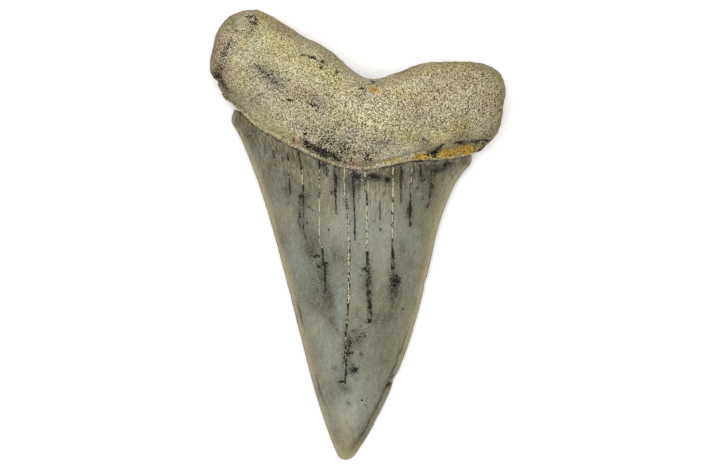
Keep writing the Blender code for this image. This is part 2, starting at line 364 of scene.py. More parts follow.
enamel = bpy.data.materials.new("fossil_enamel")
dentine = bpy.data.materials.new("fossil_root")
crown.data.materials.append(enamel)
root.data.materials.append(dentine)
union = crown.modifiers.new("grown together", "BOOLEAN")
union.operation = "UNION"
union.solver = "MANIFOLD"
union.material_mode = "TRANSFER"
union.object = root
grown = bpy.data.meshes.new_from_object(
    crown.evaluated_get(bpy.context.evaluated_depsgraph_get()))
bpy.data.objects.remove(crown)
bpy.data.objects.remove(root)
grown.name = "fossil_tooth"
tooth = bpy.data.objects.new("fossil_tooth", grown)
bpy.context.scene.collection.objects.link(tooth)

vertex_count = len(grown.vertices)
points = np.empty(vertex_count * 3)
grown.vertices.foreach_get("co", points)
points = points.reshape(-1, 3) / MM
normals = np.empty(vertex_count * 3)
grown.vertex_normals.foreach_get("vector", normals)
normals = normals.reshape(-1, 3)
x, y = points[:, 0:2].T
inner_face = ramp(normals[:, 2], *INNER_SLANT)

corner_vertices = np.empty(len(grown.loops), dtype=int)
grown.loops.foreach_get("vertex_index", corner_vertices)
face_slots = np.empty(len(grown.polygons), dtype=int)
grown.polygons.foreach_get("material_index", face_slots)
face_corners = np.empty(len(grown.polygons), dtype=int)
grown.polygons.foreach_get("loop_total", face_corners)
corner_slots = np.repeat(face_slots, face_corners)
corners = np.bincount(corner_vertices, minlength=vertex_count)
root_corners = np.bincount(corner_vertices, weights=corner_slots, minlength=vertex_count)
on_root = root_corners / np.maximum(corners, 1)


def distance_to(line):
    """Distance in plan from every vertex to a line of points."""
    nearest = np.full(vertex_count, np.inf)
    for (start_x, start_y), (run_x, run_y) in zip(line[:-1], np.diff(line, axis=0)):
        share = ((x - start_x) * run_x + (y - start_y) * run_y) / (run_x ** 2 + run_y ** 2)
        share = np.clip(share, 0.0, 1.0)
        away = np.hypot(x - start_x - share * run_x, y - start_y - share * run_y)
        nearest = np.minimum(nearest, away)
    return nearest


def mark(name, values):
    """Keep a value for every vertex under a name that the materials read."""
    attribute = grown.attributes.new(name, "FLOAT", "POINT")
    attribute.data.foreach_set("value", np.asarray(values, dtype=np.float32))


crown_outline = through(CROWN_STATIONS, np.linspace(0.0, crown_last, CROWN_TRACE))
cutting_edge = np.minimum(distance_to(crown_outline[:, 0:2]), distance_to(crown_outline[:, 2:4]))
root_trace = np.linspace(0.0, root_last, ROOT_TRACE)
upper_margin = through(upper_path, root_trace + 1.0)
lower_margin = through(lower_path, root_trace + 1.0)
root_rim = np.minimum(distance_to(upper_margin), distance_to(lower_margin))
banded = (root_trace >= BAND_START[0]) & (root_trace <= BAND_END[1])
enamel_margin = distance_to(lower_margin[banded])
mark("cutting_edge", cutting_edge)
mark("root_rim", root_rim)
mark("enamel_margin", enamel_margin)

# The surface relief
# The root is pitted and grained all over like coarse sandstone, the band is a row of smooth chunks,
# and the enamel is smooth, with faint folds near the root and small chips along its cutting edges.

# Lumps of the root: scale in waves per millimetre, and height in millimetres
ROOT_LUMPS = [(0.35, 0.22), (0.8, 0.10), (1.7, 0.06), (3.2, 0.05)]
ROOT_SINK = 0.11             # how far the whole root goes back, so that its lumps end on its outline
BAND_CALM = 0.35             # share of the lumps' height that is left beside the enamel
CALM_REACH = (0.3, 1.6)      # distance from the enamel over which they grow to their full height
MARGIN_LUMPS = (1.5, 0.14)   # scale and height of the unevenness of the ridge along the enamel
MARGIN_REACH = (0.4, 1.0)    # distance from the enamel over which it fades out
ENAMEL_FOLDS = [(0.9, 0.05), (2.0, 0.03)]
FOLD_REACH = (1.0, 14.0)     # distance from the root over which the folds fade out
FOLD_EDGE = (0.3, 1.5)       # distance from a cutting edge over which the folds start
FOLD_STRETCH = 0.1           # squeeze along the tooth, which draws the folds out
# Chips at the edges: x and y of the middle, radius and depth
CHIPS = [
    (9.1, -6.4, 0.5, 0.14),
    (4.8, -19.1, 0.8, 0.22),
    (2.0, -24.3, 0.6, 0.16),
    (3.9, -20.4, 0.35, 0.10),
    (7.6, -12.2, 0.35, 0.07),
    (-8.9, -8.0, 0.4, 0.06),
    (-18.95, 20.25, 0.40, 0.34),
    (-17.4, 18.4, 0.30, 0.10),
    (15.55, 11.0, 0.30, 0.30),
    (17.3, 12.1, 0.25, 0.12),
]
# Smooth lumps of the band beside the enamel: x and y of the middle, radius and height
CHUNKS = [
    (-8.2, 12.45, 0.65, 0.18),
    (-1.5, 9.75, 0.50, 0.16),
    (-0.25, 9.7, 0.60, 0.16),
]
SEED_SHIFT = (17.3, 5.1, 9.7)    # how far apart the random fields of two seeds are taken


def rough(places, scale, seed):
    """Smooth random values between about -1 and 1 at points in millimetres."""
    shift = Vector(SEED_SHIFT) * seed
    return np.array([noise.noise(Vector(place) * scale + shift) for place in places])


lumps = sum(height * rough(points, scale, seed)
            for seed, (scale, height) in enumerate(ROOT_LUMPS, start=1))
calm = BAND_CALM + (1.0 - BAND_CALM) * ramp(enamel_margin, *CALM_REACH)
folded = points * (1.0, FOLD_STRETCH, 1.0)
folds = sum(height * rough(folded, scale, seed)
            for seed, (scale, height) in enumerate(ENAMEL_FOLDS, start=11))
folds = folds * (1.0 - ramp(enamel_margin, *FOLD_REACH)) * ramp(cutting_edge, *FOLD_EDGE)
relief = on_root * (lumps * calm - ROOT_SINK) + (1.0 - on_root) * folds
ridge_scale, ridge_height = MARGIN_LUMPS
ridge_lumps = ridge_height * rough(points, ridge_scale, 21)
relief += on_root * ridge_lumps * (1.0 - ramp(enamel_margin, *MARGIN_REACH))
for chip_x, chip_y, radius, depth in CHIPS:
    relief -= depth * np.exp(-((x - chip_x) ** 2 + (y - chip_y) ** 2) / radius ** 2)
chunks = np.zeros(vertex_count)
for chunk_x, chunk_y, radius, height in CHUNKS:
    lump = np.exp(-(((x - chunk_x) ** 2 + (y - chunk_y) ** 2) / radius ** 2) ** 2)
    chunks = np.maximum(chunks, lump * inner_face * on_root)
    relief += height * lump * inner_face * on_root
shaped = points + normals * relief[:, None]
shaped[:, 2] = np.maximum(shaped[:, 2], 0.0)
low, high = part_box("tooth")
middle = (shaped.min(0) + shaped.max(0)) / 2.0
shaped[:, 0] += (low.x + high.x) / 2.0 / MM - middle[0]
shaped[:, 1] += (low.y + high.y) / 2.0 / MM - middle[1]
grown.vertices.foreach_set("co", (shaped * MM).ravel())
grown.shade_smooth()
grown.update()
mark("band_chunks", chunks)

# The enamel's marks
# Manganese and iron from the sediment have crept into the enamel's drying cracks, which run from the
# root towards the tip, and stained the enamel round them. Other cracks have filled with pale silt.

# Every crack is a run of points from the root down: x, y, how dark, how pale and half its width
CRACKS = [
    [(-13.7, 14.0, 0.7, 0.0, 0.07), (-13.6, 13.2, 0.7, 0.0, 0.05)],
    [(-11.25, 11.5, 0.8, 0.0, 0.06), (-11.0, 10.2, 0.9, 0.0, 0.10)],
    [(-9.3, 11.0, 0.8, 0.0, 0.07), (-9.2, 9.9, 0.8, 0.0, 0.08), (-9.2, 9.7, 0.0, 0.3, 0.04),
     (-9.2, 8.2, 0.0, 0.3, 0.04), (-9.15, 8.0, 0.7, 0.0, 0.05), (-8.9, 5.1, 0.7, 0.0, 0.05)],
    [(-7.85, 11.5, 1.0, 0.0, 0.08), (-7.65, 10.0, 1.0, 0.0, 0.10), (-7.5, 8.7, 1.0, 0.0, 0.12),
     (-7.42, 8.5, 0.0, 0.9, 0.06), (-7.3, 6.8, 0.0, 0.8, 0.06), (-7.25, 6.6, 0.9, 0.0, 0.07),
     (-7.2, 3.5, 0.9, 0.0, 0.06), (-7.2, 0.8, 0.9, 0.0, 0.07), (-6.8, -0.8, 0.3, 0.0, 0.05)],
    [(-5.1, 10.2, 0.9, 0.0, 0.12), (-5.05, 8.8, 0.9, 0.0, 0.07), (-5.05, 8.5, 0.2, 0.7, 0.05),
     (-5.05, 5.2, 0.5, 0.4, 0.05), (-5.1, 4.8, 0.0, 0.9, 0.05), (-5.1, -0.5, 0.0, 1.0, 0.06),
     (-4.75, -1.5, 0.0, 0.9, 0.06), (-4.7, -1.7, 0.9, 0.2, 0.08), (-4.6, -3.3, 0.9, 0.2, 0.08),
     (-4.35, -4.0, 0.9, 0.0, 0.08), (-4.3, -7.9, 0.7, 0.0, 0.05)],
    [(-4.15, 9.2, 0.8, 0.0, 0.07), (-4.1, 7.7, 0.8, 0.0, 0.07)],
    [(-3.0, 9.3, 1.0, 0.0, 0.09), (-2.97, 7.8, 1.0, 0.0, 0.13), (-2.95, 5.4, 1.0, 0.0, 0.13),
     (-2.9, 4.9, 1.0, 0.0, 0.06), (-2.85, 2.6, 1.0, 0.0, 0.05)],
    [(-1.77, 9.0, 0.0, 0.9, 0.06), (-1.75, 5.2, 0.0, 0.8, 0.05), (-1.6, 5.0, 0.3, 0.0, 0.05),
     (-1.45, 3.0, 0.4, 0.0, 0.06)],
    [(-1.2, 3.0, 0.4, 0.85, 0.08), (-1.2, -3.0, 0.5, 0.75, 0.10), (-1.2, -8.8, 0.5, 0.85, 0.10),
     (-1.3, -9.1, 0.85, 0.2, 0.09), (-1.3, -10.5, 0.85, 0.2, 0.09), (-1.35, -10.8, 0.2, 0.7, 0.08),
     (-1.4, -11.4, 0.2, 0.7, 0.08), (-1.42, -11.6, 0.9, 0.1, 0.10), (-1.45, -12.3, 0.9, 0.1, 0.08),
     (-1.6, -12.6, 0.6, 0.6, 0.10), (-1.6, -16.8, 0.7, 0.6, 0.10), (-1.5, -17.2, 1.0, 0.1, 0.10),
     (-1.75, -19.9, 1.0, 0.0, 0.09)],
    [(-0.6, 8.6, 0.8, 0.0, 0.12), (-0.57, 5.4, 0.9, 0.0, 0.10), (-0.5, 4.8, 1.0, 0.0, 0.06),
     (-0.4, 2.0, 1.0, 0.0, 0.08), (-0.35, -0.7, 1.0, 0.0, 0.05)],
    [(0.94, 9.4, 0.0, 1.0, 0.07), (0.98, 6.2, 0.0, 0.9, 0.06), (1.15, 5.6, 1.0, 0.0, 0.10),
     (1.18, 4.0, 1.0, 0.0, 0.10), (1.18, 3.8, 0.1, 0.8, 0.06), (1.22, -1.9, 0.1, 0.8, 0.06),
     (1.25, -2.2, 1.0, 0.0, 0.11), (1.3, -4.0, 1.0, 0.0, 0.16), (1.36, -4.3, 1.0, 0.0, 0.24),
     (1.45, -6.8, 1.0, 0.0, 0.26), (1.5, -8.9, 1.0, 0.0, 0.20), (1.6, -10.6, 1.0, 0.0, 0.22),
     (1.5, -11.7, 1.0, 0.0, 0.15)],
    [(2.9, 4.7, 0.9, 0.0, 0.05), (2.92, 2.7, 0.9, 0.0, 0.05), (2.98, 0.8, 0.5, 0.0, 0.06)],
    [(4.68, 9.0, 0.0, 0.8, 0.06), (4.65, 7.3, 0.0, 0.9, 0.07), (4.6, -0.2, 0.0, 0.8, 0.07),
     (4.6, -0.4, 1.0, 0.0, 0.08), (4.63, -2.2, 1.0, 0.0, 0.11), (4.68, -4.4, 1.0, 0.0, 0.20),
     (4.75, -5.0, 1.0, 0.0, 0.26)],
    [(5.7, 9.3, 1.0, 0.0, 0.07), (5.72, 4.2, 1.0, 0.0, 0.05)],
    [(7.1, 8.9, 0.0, 0.9, 0.06), (7.05, 7.2, 0.0, 0.7, 0.05), (7.0, 5.2, 0.8, 0.2, 0.06),
     (6.95, 4.2, 1.0, 0.0, 0.10), (6.9, 2.4, 1.0, 0.0, 0.12), (6.95, 1.1, 1.0, 0.0, 0.07)],
    [(8.3, 9.4, 0.9, 0.0, 0.08), (8.3, 7.8, 0.8, 0.0, 0.06)],
    [(9.8, 8.6, 0.7, 0.0, 0.06), (9.5, 5.0, 0.5, 0.0, 0.06), (9.3, 3.6, 0.6, 0.0, 0.07)],
]

# Every stain is x, y, half of its two widths, turn in degrees and strength
ENAMEL_SMOKE = [
    (-0.5, 7.4, 0.65, 0.65, 0, 1.4), (0.1, 6.9, 0.4, 1.0, 0, 1.1), (1.9, 7.8, 0.55, 0.45, 0, 1.4),
    (2.8, 7.7, 0.4, 0.4, 0, 1.2), (3.95, 7.4, 0.45, 0.5, 0, 1.4), (4.8, 8.2, 0.3, 0.8, 0, 0.9),
    (5.8, 7.6, 0.5, 0.7, 0, 0.8), (7.3, 8.3, 0.5, 0.8, 0, 0.7), (8.5, 7.6, 0.45, 1.2, 0, 0.7),
    (9.8, 7.8, 0.7, 1.2, 0, 0.45), (9.9, 6.0, 0.6, 1.6, 0, 0.4), (11.3, 8.8, 0.9, 0.6, 0, 0.8),
    (12.6, 9.3, 0.8, 0.5, 0, 0.5), (4.6, -9.0, 1.2, 1.8, 0, 0.45), (8.4, 1.5, 0.9, 3.0, 0, 0.25),
    (-4.6, 9.0, 0.8, 1.2, 0, 0.6), (-2.9, 7.2, 0.45, 2.0, 0, 0.6), (-0.5, 6.0, 0.5, 2.2, 0, 0.5),
    (-7.4, 4.8, 0.7, 1.6, 0, 0.6), (-7.6, 1.2, 0.7, 1.2, 0, 0.5), (-9.1, 6.2, 0.6, 1.6, 0, 0.5),
    (-5.8, -1.3, 1.1, 2.2, 20, 0.5), (-4.3, -6.0, 0.8, 3.0, 0, 0.6), (-3.6, -8.3, 0.8, 1.6, 0, 0.6),
    (10.3, 8.6, 1.0, 1.0, 0, 0.6), (8.2, 8.3, 0.6, 1.3, 0, 0.5), (11.8, 9.3, 0.9, 0.8, 0, 0.5),
    (9.4, 5.6, 1.4, 2.6, 0, 0.4), (6.9, 3.4, 0.7, 1.4, 0, 0.35), (-2.0, -3.6, 1.4, 2.6, 0, 0.35),
    (0.9, 0.5, 0.9, 1.8, 0, 0.25), (-0.2, -13.7, 0.9, 1.4, 0, 0.6), (-1.8, -20.3, 0.9, 0.9, 0, 0.6),
    (-1.3, -22.4, 0.5, 0.5, 0, 0.4), (3.4, -14.0, 2.0, 3.0, 0, 0.28), (4.2, -10.9, 1.8, 0.8, 0, 0.4),
    (6.8, -4.5, 2.0, 4.0, 0, 0.2), (-14.6, 11.8, 1.4, 3.2, -20, 0.4), (-12.0, 8.0, 2.0, 4.0, -15, 0.3),
    (3.7, -16.8, 2.2, 1.6, 0, 0.2), (1.6, -7.4, 0.7, 3.2, 0, 0.4), (4.9, -6.2, 0.8, 1.8, 0, 0.5),
    (-10.0, -1.0, 0.8, 1.6, 10, 0.3), (8.9, -1.0, 1.4, 3.0, -8, 0.12), (9.7, 8.9, 1.0, 0.6, 0, 1.1),
    (-14.4, 13.5, 1.0, 0.9, -40, 0.5), (-2.4, 7.9, 0.9, 1.0, 0, 0.55), (-1.6, 6.6, 0.8, 1.4, 0, 0.6),
    (-0.6, 6.3, 0.6, 1.0, 0, 0.4), (2.3, 7.4, 0.8, 0.7, 0, 0.5), (4.2, 7.6, 1.6, 1.0, 0, 0.5),
    (4.9, 8.6, 0.8, 0.6, 0, 0.4), (5.6, 6.4, 0.8, 1.0, 0, 0.35), (14.6, 9.6, 1.0, 0.8, 30, 0.5),
    (-9.6, 6.0, 0.9, 1.6, 0, 0.35), (-6.7, 5.4, 0.8, 1.4, 0, 0.4), (-8.8, 10.4, 1.6, 0.9, -28, 0.3),
    (-6.8, 9.7, 1.2, 0.8, -28, 0.3), (-6.5, -2.1, 0.8, 1.4, 20, 0.6), (-3.0, -2.4, 0.8, 1.4, 0, 0.5),
    (5.9, -1.8, 0.9, 1.4, 0, 0.35), (-5.4, -5.6, 1.2, 2.2, 10, 0.5), (-5.8, -8.0, 1.0, 1.4, 0, 0.4),
    (-7.2, -6.6, 0.8, 1.4, 0, 0.25), (-6.1, -9.6, 0.9, 1.2, 0, 0.3), (-4.6, -9.6, 1.0, 1.4, 0, 0.35),
    (-3.4, -11.2, 0.8, 1.2, 0, 0.5), (0.0, -10.6, 0.7, 1.6, 0, 0.4), (2.4, -11.4, 1.4, 1.1, 0, 0.45),
    (4.8, -7.6, 1.2, 1.2, 0, 0.6), (-1.4, -14.3, 0.7, 1.4, 0, 0.5), (-5.8, -15.6, 1.0, 1.8, 10, 0.3),
    (-1.0, -17.2, 1.0, 1.6, 0, 0.55), (-2.4, -18.6, 0.9, 1.2, 0, 0.35), (-5.3, -20.8, 0.8, 1.6, 10, 0.35),
    (4.0, -20.7, 0.8, 1.4, -20, 0.5), (2.6, -23.6, 0.8, 1.6, -20, 0.4), (2.0, -24.9, 0.7, 1.2, -20, 0.7),
    (0.7, -26.8, 0.8, 1.8, -20, 0.75), (-0.1, -28.4, 0.8, 0.9, -30, 0.75),
    (-3.4, -27.0, 0.7, 1.8, 15, 0.6), (14.8, 9.7, 1.0, 0.7, 30, 0.5), (5.4, 8.8, 1.2, 0.5, 5, 0.5),
    (-0.4, 7.1, 0.8, 0.8, 0, 0.5), (1.9, 7.4, 0.8, 0.6, 0, 0.5), (1.0, -6.7, 0.6, 1.6, 0, 0.4),
    (-0.9, -17.9, 0.9, 0.9, 0, 0.3), (4.1, -20.4, 0.7, 1.2, -20, 0.3), (1.9, -24.9, 0.7, 1.2, -20, 0.3),
]
ENAMEL_BROWN = [
    (7.1, 2.0, 0.6, 0.9, 0, 0.35), (0.2, -28.1, 0.8, 0.9, 0, 0.9), (-8.9, 10.5, 2.0, 0.6, -28, 0.5),
    (-11.5, 12.3, 1.2, 0.8, -32, 0.4), (-16.5, 15.7, 0.9, 0.9, -30, 1.2), (14.8, 9.7, 1.0, 0.7, 30, 0.6),
    (-15.2, 14.5, 1.5, 0.9, -40, 0.5), (-12.2, 12.2, 1.4, 0.8, -35, 0.35),
    (-6.2, -0.5, 0.6, 1.3, 25, 0.5), (-10.1, -0.8, 0.6, 1.0, 10, 0.45), (6.9, 3.3, 0.5, 1.2, 0, 1.0),
    (9.2, 4.0, 0.5, 0.8, 0, 0.5), (9.8, 6.4, 0.4, 1.4, 0, 0.5), (11.0, 7.3, 0.4, 1.2, 0, 0.35),
    (8.6, -4.1, 0.5, 0.5, 0, 0.5), (7.4, -4.0, 0.5, 0.4, 0, 0.4), (-4.2, -10.8, 0.18, 0.8, 48, 0.8),
    (-3.3, -11.6, 0.2, 0.7, 35, 1.0), (-2.7, -12.6, 0.2, 0.8, 25, 0.9), (-4.8, -10.1, 0.25, 0.25, 0, 0.7),
    (-2.9, -17.7, 0.5, 0.3, 0, 0.7), (0.5, -15.8, 0.4, 0.35, 0, 0.7), (0.5, -14.0, 0.2, 0.8, 0, 0.5),
    (-3.6, -20.3, 0.7, 1.4, 10, 0.3), (-3.3, -21.5, 0.35, 0.4, 0, 0.45), (-1.5, -14.5, 0.6, 2.2, 0, 0.4),
    (-4.0, -8.6, 0.7, 1.2, 0, 0.4), (-13.9, 14.2, 0.3, 0.6, 0, 0.8), (-16.1, 15.5, 0.7, 1.2, -25, 0.7),
    (-11.2, 9.8, 0.5, 1.5, -15, 0.4), (2.2, 1.8, 0.3, 0.4, 0, 0.3), (-5.3, 6.3, 0.5, 1.5, 0, 0.3),
    (3.5, -5.3, 0.9, 0.4, 0, 0.25), (-1.9, -16.6, 0.5, 0.8, 0, 0.4),
]
ENAMEL_TAN = [
    (-14.9, 15.5, 0.9, 0.5, -40, 1.2), (-1.0, -29.2, 1.2, 0.8, 0, 0.7), (-10.4, -2.6, 0.9, 4.0, 13, 0.5),
    (-9.3, -7.6, 0.9, 4.0, 13, 0.5), (-12.6, 4.6, 0.7, 3.6, 14, 0.4), (-1.5, -29.0, 1.7, 1.7, 0, 0.9),
    (-8.6, -12.5, 1.4, 4.5, 13, 0.45), (-7.0, -16.0, 1.5, 4.0, 13, 0.4), (-13.5, 5.5, 1.0, 5.0, 15, 0.3),
    (10.4, 3.5, 1.3, 5.0, -12, 0.45), (8.6, -6.5, 1.0, 5.0, -12, 0.4), (0.0, -9.6, 0.9, 3.0, 0, 0.35),
    (2.6, -2.6, 1.0, 3.0, 0, 0.25), (-9.5, 2.5, 1.3, 3.0, 8, 0.25), (3.0, 5.6, 1.0, 2.4, 0, 0.25),
    (-4.0, 5.0, 0.8, 2.6, 0, 0.3), (-5.4, -18.5, 1.0, 3.0, 15, 0.3), (-2.2, -26.5, 1.6, 2.2, 0, 0.4),
    (4.5, -9.0, 1.2, 1.5, 0, 0.25), (5.6, -14.0, 0.8, 3.2, -15, 0.3),
]
# Bluish patches, most of them upright strips such as the first: partly the enamel's own tone, partly a
# painted reflection of the soft box
ENAMEL_BLUE = [
    (-2.5, -9.4, 0.75, 3.4, 0, 0.9), (-3.8, -15.9, 1.6, 2.6, 0, 0.7), (-3.2, -3.0, 1.2, 2.0, 0, 0.5),
    (-7.9, -3.3, 1.7, 3.0, 10, 0.7), (0.3, 1.5, 1.0, 2.4, 0, 0.6), (2.4, 0.2, 0.9, 2.6, 0, 0.5),
    (3.4, 3.0, 0.8, 2.4, 0, 0.5), (-1.0, -18.5, 2.4, 2.2, 0, 0.5), (0.8, -22.0, 1.6, 2.6, 0, 0.3),
    (-5.5, -5.5, 1.6, 2.6, 0, 0.4), (1.6, -14.6, 0.5, 3.6, 0, 0.4), (-9.7, 5.5, 1.1, 3.0, 12, 0.4),
    (-13.0, 10.4, 0.8, 2.4, -15, 0.35), (12.0, 6.3, 0.8, 2.6, -20, 0.4), (2.8, -2.0, 0.8, 3.0, 0, 0.3),
    (-0.2, -8.0, 0.5, 3.0, 0, 0.3), (6.0, -1.5, 0.8, 3.0, 0, 0.2),
]
ENAMEL_PALE = [
    (-0.2, 8.5, 0.7, 0.5, 0, 0.7), (-0.1, 8.7, 0.5, 0.45, 0, 1.0), (1.4, 8.6, 0.9, 0.4, 0, 0.7),
    (1.5, 5.7, 0.7, 0.9, 0, 0.4), (-4.9, 6.1, 0.7, 1.2, 0, 0.32), (1.5, 5.3, 0.7, 1.5, 0, 0.7),
    (4.7, 2.5, 0.5, 1.4, 0, 0.3), (-1.0, -5.2, 0.6, 1.4, 0, 0.35), (3.0, 2.9, 0.7, 1.0, 0, 0.25),
    (-8.1, 1.1, 0.6, 1.0, 0, 0.25), (1.6, 0.2, 0.8, 1.4, 0, 0.32), (0.9, 2.6, 0.9, 4.0, 0, 0.45),
    (-1.6, -24.0, 1.8, 2.4, 0, 0.6), (-5.0, -5.6, 0.9, 2.4, 0, 0.3), (8.2, -1.6, 1.0, 3.0, -8, 0.3),
    (-1.9, 5.6, 0.5, 2.0, 0, 0.3), (4.0, 3.6, 0.6, 2.0, 0, 0.25), (-2.3, 1.5, 2.2, 3.4, 0, 0.45),
    (3.6, 1.4, 2.0, 3.6, 0, 0.45), (0.0, -22.5, 2.2, 3.5, 0, 0.35), (-5.5, -12.6, 1.6, 3.6, 8, 0.35),
    (3.4, -3.0, 1.2, 3.6, 0, 0.35), (6.6, -0.4, 1.4, 3.0, 0, 0.2), (-4.0, -17.0, 2.0, 3.5, 0, 0.3),
    (2.6, 4.6, 1.0, 1.8, 0, 0.3),
]
ENAMEL_BLACK = [
    (5.2, 9.55, 1.1, 0.30, 8, 1.0), (8.3, 9.85, 0.9, 0.16, 8, 0.9), (3.95, 7.3, 0.32, 0.30, 0, 1.0),
    (-5.5, -2.75, 0.75, 0.25, 5, 1.0), (-4.5, -3.7, 0.9, 0.3, -5, 0.75), (-5.1, -4.2, 0.4, 0.3, 0, 0.8),
    (-3.4, 5.6, 0.28, 0.25, 0, 1.0), (6.8, 3.25, 0.38, 0.5, 0, 0.85), (0.85, -4.45, 0.45, 0.28, 0, 0.9),
    (4.85, -6.1, 0.62, 1.2, 0, 0.85), (5.3, -6.0, 0.4, 0.5, 0, 0.7), (-0.45, -17.8, 0.55, 0.5, -20, 1.1),
    (-2.15, -19.45, 0.62, 0.2, 5, 1.1), (-1.2, -15.6, 0.6, 0.22, 0, 1.0),
    (-1.65, -16.2, 0.25, 0.6, 0, 0.9), (0.55, -15.7, 0.28, 0.3, 0, 0.7),
    (-3.2, -17.55, 0.32, 0.16, 0, 0.8), (0.56, -21.87, 0.14, 0.2, 0, 0.9),
    (1.12, -22.6, 0.13, 0.35, 15, 0.8), (-1.3, -22.3, 0.2, 0.15, 0, 0.5),
    (6.0, -9.85, 0.18, 0.18, 0, 0.8), (0.35, -11.9, 0.28, 0.1, 0, 0.8), (0.4, -5.3, 0.16, 0.16, 0, 0.9),
    (6.1, -2.1, 0.14, 0.2, 0, 0.7), (-3.85, 0.72, 0.2, 0.2, 0, 0.9), (-6.1, 3.4, 0.18, 0.16, 0, 0.8),
    (-5.9, 1.3, 0.18, 0.16, 0, 0.8), (-6.6, 1.65, 0.2, 0.2, 0, 0.9), (-7.5, 5.2, 0.45, 0.35, 0, 0.9),
    (-7.75, 2.6, 0.34, 1.9, 0, 0.68), (-6.4, 3.8, 0.15, 0.16, 0, 0.9), (3.0, 0.75, 0.18, 0.18, 0, 1.0),
    (10.3, 8.65, 0.5, 0.35, 0, 0.8), (11.7, 9.5, 0.5, 0.25, 30, 0.8), (11.1, 8.8, 0.3, 0.25, 0, 0.6),
    (-14.4, 13.2, 0.16, 0.16, 0, 0.9), (2.2, 7.75, 0.8, 0.4, 0, 0.75), (-0.2, 7.9, 0.8, 0.5, 0, 0.7),
    (1.0, 7.5, 0.5, 0.4, 0, 0.6), (-4.5, 9.3, 0.4, 0.35, 0, 0.7), (-5.2, 5.5, 0.14, 0.4, 0, 0.6),
    (-9.3, 8.5, 0.14, 0.5, 0, 0.5), (4.2, -19.9, 0.3, 0.5, -25, 1.0), (4.75, -18.9, 0.3, 0.5, -30, 0.7),
    (-0.1, -14.0, 0.4, 0.5, 0, 0.5), (2.1, 1.8, 0.12, 0.14, 0, 0.8), (-1.45, 4.2, 0.12, 0.5, 0, 0.6),
    (-9.2, 4.3, 0.25, 0.4, 0, 0.5), (9.3, 7.6, 0.12, 0.5, 0, 0.5), (10.6, 6.2, 0.12, 0.6, 0, 0.5),
    (9.6, 5.4, 0.16, 0.7, 0, 0.8), (7.9, 6.3, 0.22, 0.2, 0, 0.9), (8.3, 8.2, 0.16, 0.5, 0, 0.8),
    (8.9, 7.4, 0.13, 0.15, 0, 0.9), (8.6, 4.9, 0.12, 0.22, 0, 0.8), (9.9, 6.6, 0.25, 0.35, 0, 0.85),
    (9.3, 3.7, 0.15, 0.16, 0, 0.8), (11.6, 9.2, 0.16, 0.45, -25, 0.9), (12.4, 9.5, 0.3, 0.2, 0, 0.75),
    (4.95, 3.75, 0.13, 0.17, 0, 0.8), (3.95, 7.3, 0.34, 0.32, 0, 0.9), (3.7, 6.5, 0.4, 0.22, 0, 0.55),
    (-1.4, 3.65, 0.15, 0.15, 0, 1.0), (-1.6, 4.5, 0.45, 0.8, 0, 0.5), (-6.3, 5.3, 0.4, 0.25, 0, 0.4),
    (-9.9, 10.0, 0.2, 0.4, 0, 0.6), (-10.9, 9.2, 0.14, 0.4, 0, 0.5), (-6.3, 9.1, 0.14, 0.6, 0, 0.6),
    (-5.9, 8.2, 0.14, 0.4, 0, 0.6), (-3.9, 8.6, 0.22, 0.5, 0, 0.7), (-3.5, 9.6, 0.5, 0.2, -25, 0.6),
    (-2.4, 8.6, 0.2, 0.5, 0, 0.6), (0.0, 7.8, 0.45, 0.6, 0, 0.4), (1.7, 7.9, 0.7, 0.3, 0, 0.5),
    (5.9, 8.3, 0.25, 0.4, 0, 0.6), (0.9, -13.3, 0.6, 0.9, 0, 0.46), (0.2, -13.0, 0.4, 0.5, 0, 0.4),
    (-0.6, -12.6, 0.3, 0.3, 0, 0.6), (-0.9, -14.4, 0.25, 0.8, 0, 0.6), (1.0, -11.5, 0.14, 0.14, 0, 0.8),
    (-2.0, -17.0, 0.2, 0.2, 0, 0.6), (5.0, -5.9, 0.75, 1.3, 0, 0.3), (1.5, -6.2, 0.5, 3.6, 0, 0.48),
    (4.6, -3.0, 0.3, 1.4, 0, 0.6), (-4.3, -5.0, 0.3, 2.4, 0, 0.56), (-1.2, -14.6, 0.35, 2.4, 0, 0.46),
]
# The thin brown line inside the pale edge shows where these lie on it
EDGE_LINE = [
    (-16.5, 15.8, 1.0, 1.2, 0, 1.0), (-15.4, 13.6, 0.8, 1.2, 30, 0.4), (14.6, 9.8, 0.8, 0.8, 0, 0.5),
    (4.7, -18.0, 1.2, 1.6, 0, 1.0), (2.9, -22.0, 1.2, 2.0, 0, 0.9), (-7.6, -10.6, 1.2, 1.9, 0, 0.9),
    (-5.3, -20.5, 1.0, 1.6, 0, 0.9), (5.6, -15.1, 1.2, 2.2, 0, 0.8), (3.9, -20.3, 1.2, 1.2, 0, 1.0),
    (2.7, -22.6, 1.2, 2.2, 0, 0.9), (0.9, -26.4, 1.3, 2.2, 0, 1.0), (7.3, -9.0, 1.0, 1.2, 0, 0.35),
    (-10.4, 0.5, 1.2, 2.5, 0, 0.25),
]

# On a flank, stains drift sideways, so that they don't run straight down it
STAIN_DRIFT = 0.35           # how far, in millimetres
DRIFT_SCALE = 0.7            # waves of it per millimetre
DRIFT_BEND = 6               # power that keeps it to the steep parts of the root
FLANK_SLANT = (0.0, 0.45)    # upward part of the normal over which a flank turns into the top
drift = STAIN_DRIFT * (1.0 - np.clip(normals[:, 2], 0.0, 1.0)) ** DRIFT_BEND * on_root
stain_across = x + drift * rough(points, DRIFT_SCALE, 31)
stain_along = y + drift * rough(points, DRIFT_SCALE, 32)


